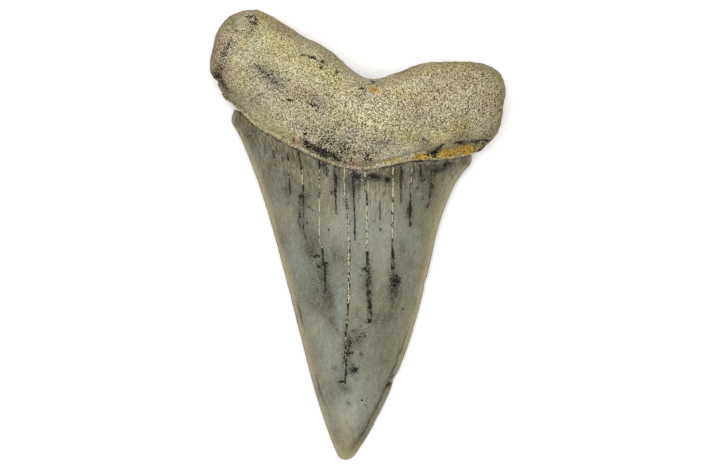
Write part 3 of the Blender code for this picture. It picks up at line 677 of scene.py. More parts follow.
def stained(stains):
    """Strength at every vertex of the inner face of soft oval stains."""
    bare = np.ones(vertex_count)
    for stain_x, stain_y, wide, high, turn, strength in stains:
        cosine, sine = math.cos(math.radians(turn)), math.sin(math.radians(turn))
        away_x, away_y = stain_across - stain_x, stain_along - stain_y
        across = (away_x * cosine + away_y * sine) / wide
        along = (away_y * cosine - away_x * sine) / high
        bare *= 1.0 - np.clip(strength * np.exp(-across ** 2 - along ** 2), 0.0, 1.0)
    return (1.0 - bare) * inner_face


# Neighbouring cracks go into different sets, so that two close ones don't share their values
CRACK_SETS = {"a": CRACKS[0::2], "b": CRACKS[1::2]}
CRACK_REACH = (0.30, 0.55)   # distance from a crack over which its values fade out
FAR_AWAY = 9.0               # distance that stands for no crack near by
for crack_set, runs in CRACK_SETS.items():
    offset = np.full(vertex_count, FAR_AWAY)
    darkness, paleness, half_width = (np.zeros(vertex_count) for _ in range(3))
    for run in runs:
        run_x, run_y, *run_values = np.array(run)[::-1].T
        away = x - np.interp(y, run_y, run_x)
        nearer = (np.abs(away) < np.abs(offset)) & (y > run_y[0]) & (y < run_y[-1])
        offset[nearer] = away[nearer]
        for values, keyed in zip((darkness, paleness, half_width), run_values):
            values[nearer] = np.interp(y, run_y, keyed)[nearer]
    kept = inner_face * (1.0 - on_root) * (1.0 - ramp(np.abs(offset), *CRACK_REACH))
    mark("crack_offset_" + crack_set, offset)
    mark("crack_dark_" + crack_set, darkness * kept)
    mark("crack_pale_" + crack_set, paleness * kept)
    mark("crack_width_" + crack_set, half_width)
for name, stains in (("smoke", ENAMEL_SMOKE), ("brown", ENAMEL_BROWN), ("tan", ENAMEL_TAN),
                     ("blue", ENAMEL_BLUE), ("pale", ENAMEL_PALE), ("black", ENAMEL_BLACK),
                     ("edge_line", EDGE_LINE)):
    mark("enamel_" + name, stained(stains))
mark("flank", 1.0 - ramp(normals[:, 2], *FLANK_SLANT))


class Nodes:
    """Short calls that add nodes to one material or node group."""

    def __init__(self, tree):
        self.tree = tree

    def add(self, kind, inputs=None, **settings):
        """New node; inputs gives a number, a colour or another node's output for a socket."""
        node = self.tree.nodes.new(kind)
        for name, value in settings.items():
            setattr(node, name, value)
        for name, value in (inputs or {}).items():
            if isinstance(value, bpy.types.NodeSocket):
                self.link(value, node.inputs[name])
            else:
                node.inputs[name].default_value = value
        return node

    def use(self, group, inputs):
        """Outputs of a node group that is fed with the inputs."""
        return self.add("ShaderNodeGroup", inputs, node_tree=group).outputs

    def math(self, operation, first, second=0.0, third=0.0):
        inputs = {0: first, 1: second, 2: third}
        return self.add("ShaderNodeMath", inputs, operation=operation).outputs[0]

    def step(self, value, start, end, low=0.0, high=1.0):
        """Smooth step of a value from low at start to high at end."""
        inputs = {"Value": value, "From Min": start, "From Max": end, "To Min": low, "To Max": high}
        node = self.add("ShaderNodeMapRange", inputs, interpolation_type="SMOOTHSTEP")
        return node.outputs["Result"]

    def mix(self, share, first, second, blend="MIX"):
        """Colour between two others."""
        node = self.add("ShaderNodeMix", {0: share, 6: first, 7: second},
                        data_type="RGBA", blend_type=blend)
        return node.outputs[2]

    def place(self, stretch=(1.0, 1.0, 1.0)):
        """Object coordinates in millimetres, squeezed by the three factors."""
        coordinates = self.add("ShaderNodeTexCoord").outputs["Object"]
        scale = tuple(factor / MM for factor in stretch)
        node = self.add("ShaderNodeVectorMath", {0: coordinates, 1: scale}, operation="MULTIPLY")
        return node.outputs[0]

    def noise(self, place, scale, detail=2.0, roughness=0.5, distortion=0.0):
        """Random values from 0 to 1; the scale is in waves per millimetre."""
        inputs = {"Vector": place, "Scale": scale, "Detail": detail, "Roughness": roughness,
                  "Distortion": distortion}
        return self.add("ShaderNodeTexNoise", inputs).outputs["Fac"]

    def grains(self, place, scale):
        """Random value from 0 to 1 for every grain of a mosaic; the scale is in grains per mm."""
        mosaic = self.add("ShaderNodeTexVoronoi", {"Vector": place, "Scale": scale})
        return self.add("ShaderNodeSeparateColor", {"Color": mosaic.outputs["Color"]}).outputs["Red"]

    def read(self, name):
        """Value that the vertices keep under a name."""
        return self.add("ShaderNodeAttribute", attribute_name=name).outputs["Fac"]

    def link(self, value, socket):
        self.tree.links.new(value, socket)


def node_group(name, inputs, outputs):
    """Node group with named float inputs, which start at the values given, and float outputs."""
    tree = bpy.data.node_groups.new(name, "ShaderNodeTree")
    for title, value in inputs.items():
        socket = tree.interface.new_socket(title, in_out="INPUT", socket_type="NodeSocketFloat")
        socket.default_value = value
    for title in outputs:
        tree.interface.new_socket(title, in_out="OUTPUT", socket_type="NodeSocketFloat")
    nodes = Nodes(tree)
    return tree, nodes, nodes.add("NodeGroupInput").outputs, nodes.add("NodeGroupOutput").inputs


# A crack that wanders a little, breaks off here and there, and holds black or pale filling
crack_group, nodes, given, result = node_group(
    "Crack", {"Offset": FAR_AWAY, "Dark": 0.0, "Pale": 0.0, "Half width": 0.08},
    ("Black", "Silt", "Halo", "Groove"))
wander = nodes.noise(nodes.place((1.0, 1.0, 0.0)), 1.5, 3.0, 0.65)
offset = nodes.math("MULTIPLY_ADD", wander, 0.34, nodes.math("ADD", given["Offset"], -0.17))
offset = nodes.math("ABSOLUTE", offset)
reach = nodes.math("DIVIDE", offset, given["Half width"])
uneven = nodes.math("MULTIPLY_ADD", nodes.noise(nodes.place((1.0, 0.7, 0.0)), 1.6, 1.0), 0.9, -0.45)

# Black filling in specks, closer together in a thin crack
specks = nodes.noise(nodes.place((1.0, 0.8, 1.0)), 4.6, 2.0, 0.8)
solid = nodes.math("MULTIPLY_ADD", given["Half width"], -1.1, 0.25)
inside = nodes.math("MINIMUM", nodes.math("MULTIPLY_ADD", reach, -0.36, 0.48), solid)
level = nodes.math("MULTIPLY_ADD", given["Dark"], 0.35, -0.35)
filling = nodes.math("ADD", nodes.math("ADD", specks, uneven), nodes.math("ADD", inside, level))
black = nodes.math("MULTIPLY", nodes.step(filling, 0.45, 0.55), nodes.step(given["Dark"], 0.02, 0.15))

# Soot beside a pale crack
beside = nodes.math("MINIMUM", nodes.math("MULTIPLY_ADD", reach, -0.42, 0.90), -0.07)
soot = nodes.step(nodes.math("ADD", nodes.math("SUBTRACT", specks, uneven), beside), 0.47, 0.56)
soot = nodes.math("MULTIPLY", soot, nodes.step(given["Pale"], 0.1, 0.4))

# Pale silt in short threads
threads = nodes.noise(nodes.place((1.3, 0.4, 1.0)), 3.2, 2.0, 0.75)
inside = nodes.math("MINIMUM", nodes.math("MULTIPLY_ADD", reach, -0.5, 0.52), 0.22)
level = nodes.math("MULTIPLY_ADD", given["Pale"], 0.35, -0.35)
filling = nodes.math("ADD", threads, nodes.math("ADD", inside, level))
filling = nodes.math("MULTIPLY_ADD", uneven, 0.6, filling)
silt = nodes.math("MULTIPLY", nodes.step(filling, 0.45, 0.55), nodes.step(given["Pale"], 0.02, 0.15))

halo = nodes.math("MULTIPLY", nodes.step(offset, 0.45, 0.05), given["Dark"])
groove = nodes.math("MULTIPLY", nodes.step(reach, 1.6, 0.6),
                    nodes.math("MAXIMUM", given["Dark"], given["Pale"]))
nodes.link(nodes.math("MAXIMUM", black, soot), result["Black"])
nodes.link(silt, result["Silt"])
nodes.link(halo, result["Halo"])
nodes.link(groove, result["Groove"])

# A stain whose soft field is broken up into ragged flecks
flecks_group, nodes, given, result = node_group(
    "Ragged stain", {"Field": 0.0, "Fleck size": 0.3, "Raggedness": 0.8, "Level": 0.5,
                     "Softness": 0.06}, ("Mask",))
scale = nodes.math("DIVIDE", 1.0, given["Fleck size"])
flecks = nodes.noise(nodes.place((1.0, 1.0, 0.5)), scale, 2.0, 0.65)
uneven = nodes.math("MULTIPLY", nodes.math("ADD", flecks, -0.5), given["Raggedness"])
field = nodes.math("ADD", given["Field"], uneven)
start = nodes.math("SUBTRACT", given["Level"], given["Softness"])
end = nodes.math("ADD", given["Level"], given["Softness"])
present = nodes.step(given["Field"], 0.03, 0.12)
nodes.link(nodes.math("MULTIPLY", nodes.step(field, start, end), present), result["Mask"])

# Soft cloudy variation, drawn out along the tooth
clouds_group, nodes, given, result = node_group(
    "Clouds", {"Scale": 0.2, "Stretch": 0.4, "Contrast": 1.0, "Seed": 0.0}, ("Value",))
squeeze = nodes.add("ShaderNodeCombineXYZ", {"X": 1.0, "Y": given["Stretch"], "Z": 1.0}).outputs[0]
where = nodes.add("ShaderNodeVectorMath", {0: nodes.place(), 1: squeeze},
                  operation="MULTIPLY").outputs[0]
shift = nodes.add("ShaderNodeCombineXYZ", {"X": given["Seed"], "Y": 0.0, "Z": given["Seed"]})
where = nodes.add("ShaderNodeVectorMath", {0: where, 1: shift.outputs[0]},
                  operation="ADD").outputs[0]
cloud = nodes.noise(where, given["Scale"], 3.0, 0.55)
spread = nodes.math("MULTIPLY_ADD", nodes.math("ADD", cloud, -0.5), given["Contrast"], 0.5)
nodes.link(nodes.add("ShaderNodeClamp", {"Value": spread}).outputs[0], result["Value"])

# The enamel's finish
# A thin glassy skin, grey-green to tan where the sediment coloured it, worn to a satin and paler
# where it thins out along the cutting edges. Its bluish patches are partly a painted reflection of
# the soft box, and a painted shadow lies under the root's ridge. The outer face has the same enamel
# with fewer marks.

LIGHT = 0.72                 # share of a colour in the photo that its paint has, for the light here


def paint(red, green, blue):
    """Linear colour from the 0 to 255 values that it has in the finished picture."""
    shares = (value / 255.0 for value in (red, green, blue))
    linear = (share / 12.92 if share <= 0.04045 else ((share + 0.055) / 1.055) ** 2.4
              for share in shares)
    return (*(LIGHT * value for value in linear), 1.0)


GREY_GREEN = paint(126, 130, 114)
WARM_GREY = paint(137, 135, 114)
CLOUD_GREY = paint(116, 118, 101)
MILKY = paint(172, 173, 154)
BLUISH = paint(143, 153, 148)
TAN = paint(163, 145, 105)
WARM_STREAK = paint(136, 120, 90)
DARK_STREAK = paint(76, 70, 46)
PALE_STREAK = paint(172, 162, 136)
DARK_MOTTLE = paint(98, 96, 82)
PALE_MOTTLE = paint(176, 174, 154)
SMOKE = paint(78, 75, 54)
SOOT = paint(46, 44, 32)
IRON_BROWN = paint(98, 76, 48)
EDGE_IVORY = paint(180, 171, 134)
EDGE_BROWN = paint(74, 62, 44)
DASH_BROWN = paint(66, 58, 34)
DARK_DUST = paint(78, 76, 60)
PALE_DUST = paint(194, 192, 172)
JOINT_SHADOW = paint(58, 50, 34)
HALO = paint(90, 84, 68)
SILT = paint(222, 210, 168)
MANGANESE = paint(14, 15, 11)

enamel.use_nodes = True
enamel.node_tree.nodes.clear()
nodes = Nodes(enamel.node_tree)


def clouds(scale, stretch, contrast, seed):
    """Cloudy values from 0 to 1 in the material that is being built."""
    return nodes.use(clouds_group, {"Scale": scale, "Stretch": stretch, "Contrast": contrast,
                                    "Seed": seed})["Value"]


def flecked(field, size, raggedness, level, softness):
    """Mask of ragged flecks where the field is strong, in the material that is being built."""
    return nodes.use(flecks_group, {"Field": field, "Fleck size": size, "Raggedness": raggedness,
                                    "Level": level, "Softness": softness})["Mask"]


def share_of(value, amount):
    return nodes.math("MULTIPLY", value, amount)


def coat(under, mask, strength, tint):
    """Colour under, with a tint laid over it where the mask is."""
    return nodes.mix(share_of(mask, strength), under, tint)


color = nodes.mix(clouds(0.16, 0.45, 2.4, 0.0), GREY_GREEN, WARM_GREY)
color = coat(color, clouds(0.5, 0.3, 2.6, 7.0), 0.35, CLOUD_GREY)
color = coat(color, nodes.read("enamel_pale"), 1.2, MILKY)
# Bluish patches, partly a painted reflection of the soft box
color = coat(color, nodes.read("enamel_blue"), 0.85, BLUISH)
color = coat(color, nodes.read("enamel_tan"), 0.9, TAN)

# Fine streaks that start at the root and fade out towards the tip
striae = clouds(4.2, 0.05, 3.2, 3.0)
near_root = nodes.step(nodes.read("enamel_margin"), 0.5, 9.0, 1.0, 0.12)
warm_streaks = nodes.math("MULTIPLY", clouds(1.3, 0.10, 3.0, 21.0), near_root)
color = coat(color, warm_streaks, 0.65, WARM_STREAK)
dark_streaks = nodes.math("MULTIPLY", nodes.step(striae, 0.5, 0.9), near_root)
color = coat(color, dark_streaks, 0.7, DARK_STREAK)
pale_streaks = nodes.math("MULTIPLY", nodes.step(striae, 0.5, 0.1), near_root)
color = coat(color, pale_streaks, 0.35, PALE_STREAK)

mottle = nodes.noise(nodes.place((1.0, 0.6, 1.0)), 1.9, 3.0, 0.65)
color = coat(color, nodes.step(mottle, 0.5, 0.75), 0.46, DARK_MOTTLE)
color = coat(color, nodes.step(mottle, 0.5, 0.25), 0.38, PALE_MOTTLE)
smoke = nodes.math("MULTIPLY", nodes.read("enamel_smoke"),
                   nodes.step(clouds(1.6, 0.35, 2.4, 31.0), 0.15, 0.85, 0.55, 1.2))
color = coat(color, smoke, 0.95, SMOKE)
sooty = flecked(nodes.read("enamel_smoke"), 0.17, 2.6, 0.70, 0.14)
color = coat(color, sooty, 0.7, SOOT)
brown = nodes.math("MULTIPLY", nodes.read("enamel_brown"),
                   nodes.step(clouds(2.2, 0.5, 2.4, 41.0), 0.2, 0.8, 0.35, 1.1))
color = coat(color, brown, 0.85, IRON_BROWN)

# The ivory rim along the cutting edges, with a thin brown line inside it in places
ragged_edge = nodes.math("MULTIPLY_ADD", nodes.noise(nodes.place(), 0.7, 2.0), 0.5,
                         nodes.math("ADD", nodes.read("cutting_edge"), -0.25))
dulled = nodes.math("MULTIPLY_ADD", nodes.read("enamel_edge_line"), -0.6, 1.0)
rim = nodes.math("MULTIPLY", nodes.step(ragged_edge, -0.1, 1.15, 0.8, 0.0), dulled)
color = nodes.mix(rim, color, EDGE_IVORY)
line = nodes.math("ABSOLUTE", nodes.math("ADD", ragged_edge, -0.72))
line = nodes.math("MULTIPLY", nodes.step(line, 0.05, 0.24, 1.0, 0.0), nodes.read("enamel_edge_line"))
color = coat(color, line, 0.85, EDGE_BROWN)

dashes = nodes.step(nodes.noise(nodes.place((1.0, 0.2, 1.0)), 3.0, 2.0, 0.7), 0.56, 0.68)
dashes = nodes.math("MULTIPLY", dashes, nodes.step(nodes.read("enamel_margin"), 0.5, 5.5, 1.0, 0.0))
color = coat(color, dashes, 0.75, DASH_BROWN)
dust = nodes.noise(nodes.place(), 4.5, 3.0, 0.7)
color = coat(color, nodes.step(dust, 0.55, 0.70), 0.42, DARK_DUST)
color = coat(color, nodes.step(dust, 0.45, 0.30), 0.38, PALE_DUST)

# Painted shadow under the root's ridge: a thin dark line along the joint between enamel
# and root, on the inner face only
joint_shadow = nodes.math("MULTIPLY_ADD", nodes.noise(nodes.place(), 2.2, 2.0, 0.6), 0.5,
                   nodes.math("ADD", nodes.read("enamel_margin"), -0.25))
joint_shadow = nodes.math("SUBTRACT", nodes.step(joint_shadow, 0.10, 0.34, 1.0, 0.0), nodes.read("flank"))
gaps = nodes.step(nodes.noise(nodes.place(), 1.3, 2.0, 0.6), 0.40, 0.60, 0.15, 0.85)
joint_shadow = nodes.math("MAXIMUM", nodes.math("MULTIPLY", joint_shadow, gaps), 0.0)
color = nodes.mix(joint_shadow, color, JOINT_SHADOW)

black = flecked(nodes.read("enamel_black"), 0.18, 2.6, 0.5, 0.08)
grooves = black
silt = 0.0
halo = 0.0
for crack_set in CRACK_SETS:
    crack = nodes.use(crack_group, {
        "Offset": nodes.read("crack_offset_" + crack_set),
        "Dark": nodes.read("crack_dark_" + crack_set),
        "Pale": nodes.read("crack_pale_" + crack_set),
        "Half width": nodes.read("crack_width_" + crack_set)})
    black = nodes.math("MAXIMUM", black, crack["Black"])
    silt = nodes.math("MAXIMUM", silt, crack["Silt"])
    halo = nodes.math("MAXIMUM", halo, crack["Halo"])
    grooves = nodes.math("MAXIMUM", share_of(grooves, 0.8), crack["Groove"])
crystals = nodes.step(nodes.noise(nodes.place(), 4.2, 2.0, 0.8), 0.59, 0.65, 1.0, 0.3)
black = nodes.math("MULTIPLY", black, crystals)
color = coat(color, halo, 0.35, HALO)
color = coat(color, silt, 0.85, SILT)
color = coat(color, black, 0.97, MANGANESE)

roughness = nodes.math("MULTIPLY_ADD", black, 0.3, nodes.step(dust, 0.2, 0.8, 0.36, 0.46))
height = nodes.math("MULTIPLY_ADD", nodes.noise(nodes.place((1.0, 0.15, 1.0)), 1.1, 2.0), 0.03,
                    share_of(grooves, -0.05))
bump = nodes.add("ShaderNodeBump", {"Strength": 0.6, "Distance": MM, "Height": height})
shader = nodes.add("ShaderNodeBsdfPrincipled", {
    "Base Color": color, "Roughness": roughness, "Normal": bump.outputs[0], "IOR": 1.5,
    "Specular IOR Level": 0.18})
nodes.add("ShaderNodeOutputMaterial", {"Surface": shader.outputs[0]})

# The root's finish
# Bone-like dentine, turned to stone: tan and olive, with pale grains, open pores, rust and ochre in
# its hollows and black manganese where water stood along the band. It is matt all over. Painted
# shade adds to the darkening of its rim, its left end and a hollow on the left lobe, painted shadow
# fills the crevice under the bluff on the right, and painted light brightens the top of its boss.

ROOT_BLACK = [
    (-14.1, 28.8, 0.30, 0.25, 0, 1.0), (-13.7, 29.0, 0.30, 0.2, 0, 0.8),
    (-13.4, 28.5, 0.22, 0.35, 0, 0.9), (-13.6, 27.9, 0.35, 0.3, 0, 1.0), (-14.1, 28.2, 0.25, 0.2, 0, 0.8),
    (-14.6, 28.9, 0.3, 0.15, 0, 0.8), (-13.3, 27.4, 0.3, 0.25, 0, 0.6), (-16.0, 26.9, 0.2, 0.2, 0, 0.8),
    (-12.9, 26.6, 0.16, 0.16, 0, 0.8), (-14.0, 26.8, 0.35, 0.9, 0, 0.45),
    (-17.0, 25.0, 0.55, 1.3, -30, 0.55), (-17.6, 23.9, 0.4, 0.6, 0, 0.5),
    (-18.2, 22.3, 0.8, 0.9, 0, 0.48), (-18.6, 20.9, 1.0, 0.7, -20, 0.66),
    (-17.6, 19.6, 1.5, 0.4, -45, 0.6), (-7.2, 23.65, 0.35, 0.18, 0, 0.9), (-6.5, 23.5, 0.3, 0.2, 0, 0.7),
    (-5.8, 23.3, 0.55, 0.25, -15, 0.9), (-4.6, 22.8, 0.4, 0.3, 0, 1.0), (-4.8, 22.05, 0.3, 0.25, 0, 0.9),
    (-2.7, 21.5, 0.45, 0.25, -10, 0.9), (-9.1, 17.8, 0.55, 0.22, -5, 1.0),
    (-8.6, 17.6, 0.3, 0.15, 0, 0.8), (-5.9, 17.1, 0.8, 0.3, -15, 0.75),
    (-12.4, 21.6, 1.2, 0.6, -38, 0.46), (-11.1, 20.3, 1.1, 0.6, -40, 0.54),
    (-13.2, 22.3, 0.6, 0.35, -35, 0.46), (-6.8, 12.3, 0.75, 0.35, -35, 0.75),
    (-5.6, 11.3, 0.9, 0.5, -35, 0.85), (-4.5, 10.8, 1.2, 0.6, -32, 0.95),
    (-3.2, 10.4, 0.9, 0.5, -30, 0.8), (-2.6, 9.9, 0.7, 0.35, -25, 0.8), (-4.0, 12.4, 1.5, 0.9, -30, 0.36),
    (-6.9, 13.5, 0.5, 0.8, 0, 0.55), (-2.0, 11.5, 1.5, 1.0, -20, 0.5), (-0.4, 11.0, 1.2, 0.8, 0, 0.36),
    (-6.6, 11.6, 0.8, 0.4, -35, 0.75), (10.3, 10.6, 0.6, 0.4, 30, 0.8), (1.1, 10.4, 0.6, 0.6, 0, 0.46),
    (1.7, 9.9, 0.3, 0.4, 0, 0.6), (0.6, 19.3, 0.5, 0.22, 5, 1.0), (2.0, 20.3, 0.6, 0.3, -20, 0.7),
    (0.6, 18.3, 0.5, 0.4, 0, 0.4), (-0.4, 20.3, 0.3, 0.2, 0, 0.6), (9.0, 12.3, 0.9, 0.5, 10, 0.4),
    (9.9, 10.9, 0.5, 0.4, 0, 0.85), (10.6, 11.3, 0.6, 0.35, 35, 0.8), (11.2, 11.7, 0.4, 0.2, 30, 0.8),
    # The stains at (13.6, 12.2), (15.8, 12.5) and (17.2, 12.5) are thin lines of painted shadow in the
    # crevice under the bluff on the right
    (9.3, 10.7, 0.3, 0.3, 0, 0.8), (8.6, 12.6, 0.4, 0.3, 0, 0.5), (13.6, 12.2, 1.5, 0.13, 10, 0.85),
    (15.8, 12.5, 1.3, 0.15, 4, 0.95), (17.2, 12.5, 0.5, 0.16, 0, 0.9), (17.6, 13.2, 0.7, 0.6, 20, 0.4),
    (15.6, 11.9, 0.14, 0.6, -10, 0.8), (-8.45, 12.6, 0.12, 0.5, 0, 0.9), (-7.0, 12.2, 0.14, 0.4, 0, 0.7),
    (-1.6, 9.6, 0.12, 0.4, 0, 0.7), (-0.5, 9.4, 0.1, 0.35, 0, 0.6), (3.4, 12.0, 0.8, 0.6, 0, 0.4),
    (-3.0, 15.0, 1.4, 0.9, -30, 0.36), (-4.7, 11.9, 1.3, 0.6, -35, 0.16),
    (-2.4, 10.9, 0.9, 0.7, -20, 0.14), (-4.2, 13.0, 1.6, 1.0, -30, 0.14), (-0.9, 9.9, 0.16, 0.4, 0, 0.8),
    (1.1, 10.0, 0.4, 0.35, 0, 0.5), (0.9, 10.9, 0.8, 0.6, 0, 0.16), (16.2, 11.3, 0.35, 0.25, 0, 0.8),
    (13.4, 12.9, 1.2, 0.5, 8, 0.45),
]
ROOT_GREY = [
    (-1.4, 16.0, 1.0, 1.2, 0, 0.35), (-4.2, 22.4, 1.0, 0.8, 0, 0.6), (-10.2, 19.5, 1.0, 0.9, 0, 0.3),
    (-5.1, 17.1, 1.0, 1.4, 0, 0.75), (-7.8, 14.4, 1.0, 0.9, 0, 0.5), (4.5, 11.9, 1.0, 0.7, 0, 0.3),
    (-4.4, 22.3, 1.0, 0.6, -30, 0.5), (-10.6, 19.8, 1.0, 0.8, -40, 0.6),
    (-12.9, 18.4, 1.2, 0.8, -40, 0.5), (-0.9, 13.2, 1.0, 0.8, 0, 0.75), (2.4, 11.5, 1.2, 0.7, 0, 0.75),
    (4.7, 12.0, 1.0, 0.7, 0, 0.6), (-3.6, 12.8, 2.4, 1.4, -30, 0.45), (1.6, 12.2, 3.2, 1.8, 0, 0.2),
    # The stain at (-11.9, 21.2) is grey stain with painted shade, in the hollow of the left lobe
    (-11.9, 21.2, 2.4, 1.0, -38, 1.0), (-14.0, 27.0, 0.8, 1.6, 0, 0.6), (1.9, 20.6, 1.2, 0.9, 0, 0.45),
    (0.6, 18.2, 1.0, 0.9, 0, 0.5), (-13.8, 17.9, 1.6, 1.2, -45, 0.35), (11.5, 20.0, 3.0, 1.8, 0, 0.3),
    (15.8, 16.0, 1.8, 1.8, 0, 0.35), (-17.2, 22.6, 1.2, 2.6, 10, 0.45), (-12.0, 24.6, 1.2, 1.0, 0, 0.35),
    (7.5, 15.0, 2.2, 1.2, 0, 0.3),
]
ROOT_YELLOW = [
    (-14.6, 15.6, 0.9, 0.5, -40, 0.9), (13.6, 14.1, 1.6, 1.2, 0, 0.7), (6.3, 18.6, 2.2, 0.9, 0, 0.6),
    (7.0, 13.4, 1.0, 1.2, 0, 0.7), (-11.4, 25.2, 3.0, 2.0, -35, 0.8), (-7.5, 22.0, 3.4, 1.4, -30, 0.7),
    (-4.3, 21.6, 2.4, 1.2, -30, 0.7), (-2.0, 19.6, 2.0, 1.2, -30, 0.5), (-16.3, 22.9, 0.7, 0.8, 0, 0.8),
    (-15.4, 20.4, 1.6, 1.2, -40, 0.4), (-12.5, 14.9, 2.4, 0.9, -28, 0.9),
    (-10.0, 13.4, 1.4, 0.7, -28, 0.9), (-1.0, 15.4, 2.6, 0.9, -10, 0.6), (3.4, 14.6, 2.4, 0.9, 0, 0.55),
    (10.6, 12.6, 1.8, 1.0, 0, 0.8), (3.0, 19.6, 2.2, 0.9, 10, 0.6), (9.0, 21.9, 3.4, 0.8, 5, 0.6),
    (14.0, 22.3, 2.6, 0.8, 0, 0.6), (-12.0, 28.4, 1.8, 1.2, -20, 0.4), (-14.9, 25.2, 0.6, 0.45, 0, 0.6),
    (6.3, 12.6, 1.6, 1.2, 0, 0.6), (-8.6, 25.3, 2.4, 1.0, -30, 0.4),
]
ROOT_OCHRE = [
    (2.0, 19.1, 0.75, 0.6, 0, 1.05), (5.5, 18.7, 0.9, 0.8, -20, 0.42), (7.4, 18.3, 1.2, 0.3, 0, 0.4),
    (-0.3, 20.0, 0.5, 0.5, 0, 0.5), (-6.0, 20.4, 0.7, 0.45, 0, 0.45), (-14.9, 25.2, 0.7, 0.5, 0, 0.55),
    (-14.4, 17.2, 0.8, 0.6, 0, 0.45), (-9.2, 13.2, 0.9, 0.5, -20, 0.5),
    (-12.6, 28.2, 0.9, 0.5, -40, 0.42), (12.9, 13.9, 1.0, 0.9, 20, 0.45), (6.8, 13.2, 0.8, 0.8, 0, 0.4),
    (18.8, 20.4, 0.6, 1.0, 20, 0.45), (-9.0, 20.0, 0.9, 0.5, 0, 0.3), (-11.8, 25.6, 0.8, 0.5, 0, 0.4),
    (-7.0, 23.0, 0.8, 0.4, 0, 0.3), (5.4, 10.15, 1.5, 0.5, 3, 0.5), (8.3, 10.45, 1.1, 0.5, 5, 1.3),
    (9.8, 10.4, 1.0, 0.35, 0, 0.9), (12.0, 10.95, 1.8, 0.6, 8, 1.4), (14.6, 11.35, 0.9, 0.7, 8, 1.5),
    (3.9, 9.8, 1.4, 0.35, 5, 0.6), (13.2, 11.9, 1.4, 0.3, 8, 0.5), (10.3, 12.3, 0.8, 0.6, 0, 0.45),
    (11.8, 12.5, 0.5, 0.4, 0, 0.5), (16.2, 11.7, 0.5, 0.5, 0, 0.4), (17.9, 13.6, 0.8, 0.9, 20, 0.4),
]
ROOT_BROWN = [
    (-1.6, 15.2, 0.9, 0.8, 0, 0.35), (4.6, 11.9, 0.9, 0.6, 0, 0.25), (15.6, 22.2, 1.2, 0.7, 0, 0.5),
    (13.6, 11.2, 1.6, 0.6, 8, 0.4), (17.6, 20.6, 1.4, 1.4, 0, 0.5), (16.4, 18.0, 1.2, 1.4, 0, 0.35),
    (18.4, 14.0, 1.0, 1.0, 0, 0.6), (15.8, 14.2, 1.0, 0.8, 0, 0.35), (13.6, 15.9, 1.2, 1.0, 0, 0.35),
    (16.2, 11.3, 0.8, 0.5, 20, 0.6), (13.6, 14.2, 1.5, 1.2, 0, 0.45), (8.0, 12.6, 1.0, 0.8, 0, 0.4),
    (-5.9, 18.4, 1.0, 0.5, -30, 0.3), (-7.6, 19.0, 1.2, 1.2, 0, 0.15), (-6.2, 17.8, 2.2, 0.7, -25, 0.3),
    # The stains at (-18.8, 21.2) and (-17.8, 19.5) are brown with painted shade, where the rounded left
    # end turns away from the light
    (-1.0, 15.3, 0.25, 1.4, 50, 0.8), (-18.8, 21.2, 1.3, 1.5, 0, 0.95),
    (-17.8, 19.5, 1.6, 0.8, -45, 0.95), (17.6, 13.2, 1.4, 1.2, 20, 0.6), (-16.9, 27.2, 1.4, 1.2, 40, 0.4),
    (-16.2, 27.6, 0.4, 0.3, 0, 0.6), (18.6, 17.6, 0.9, 3.0, 5, 0.45), (-10.0, 26.9, 3.2, 0.6, -28, 0.35),
    (-4.2, 23.9, 2.8, 0.5, -35, 0.3), (16.3, 11.8, 1.0, 0.7, 20, 0.6), (-18.9, 24.5, 0.8, 2.0, 5, 0.5),
    (13.6, 12.4, 1.8, 0.5, 8, 0.5), (14.6, 11.3, 0.9, 0.7, 8, 0.55), (12.6, 10.9, 1.2, 0.5, 8, 0.35),
]
ROOT_PINK = [
    (11.0, 20.2, 3.4, 2.4, 0, 0.28), (9.0, 17.0, 2.2, 1.4, 0, 0.2), (-8.0, 19.2, 1.0, 1.2, 0, 0.3),
    (-9.7, 27.2, 1.4, 0.8, -25, 0.5), (-7.7, 12.5, 0.55, 0.55, 0, 0.9), (-1.05, 9.6, 0.5, 0.45, 0, 1.0),
    (0.1, 9.3, 0.6, 0.45, 0, 1.0), (1.8, 9.5, 0.8, 0.4, 0, 0.8), (-6.4, 18.9, 0.8, 0.6, 0, 0.3),
    (2.8, 10.4, 1.2, 0.6, 0, 0.5), (-16.5, 21.5, 0.8, 1.0, 0, 0.4), (17.4, 17.5, 1.0, 2.4, 0, 0.35),
    (6.0, 16.8, 1.6, 0.5, -5, 0.5), (-18.0, 25.4, 0.7, 1.2, 0, 0.4), (14.6, 20.9, 1.2, 0.7, 0, 0.4),
]
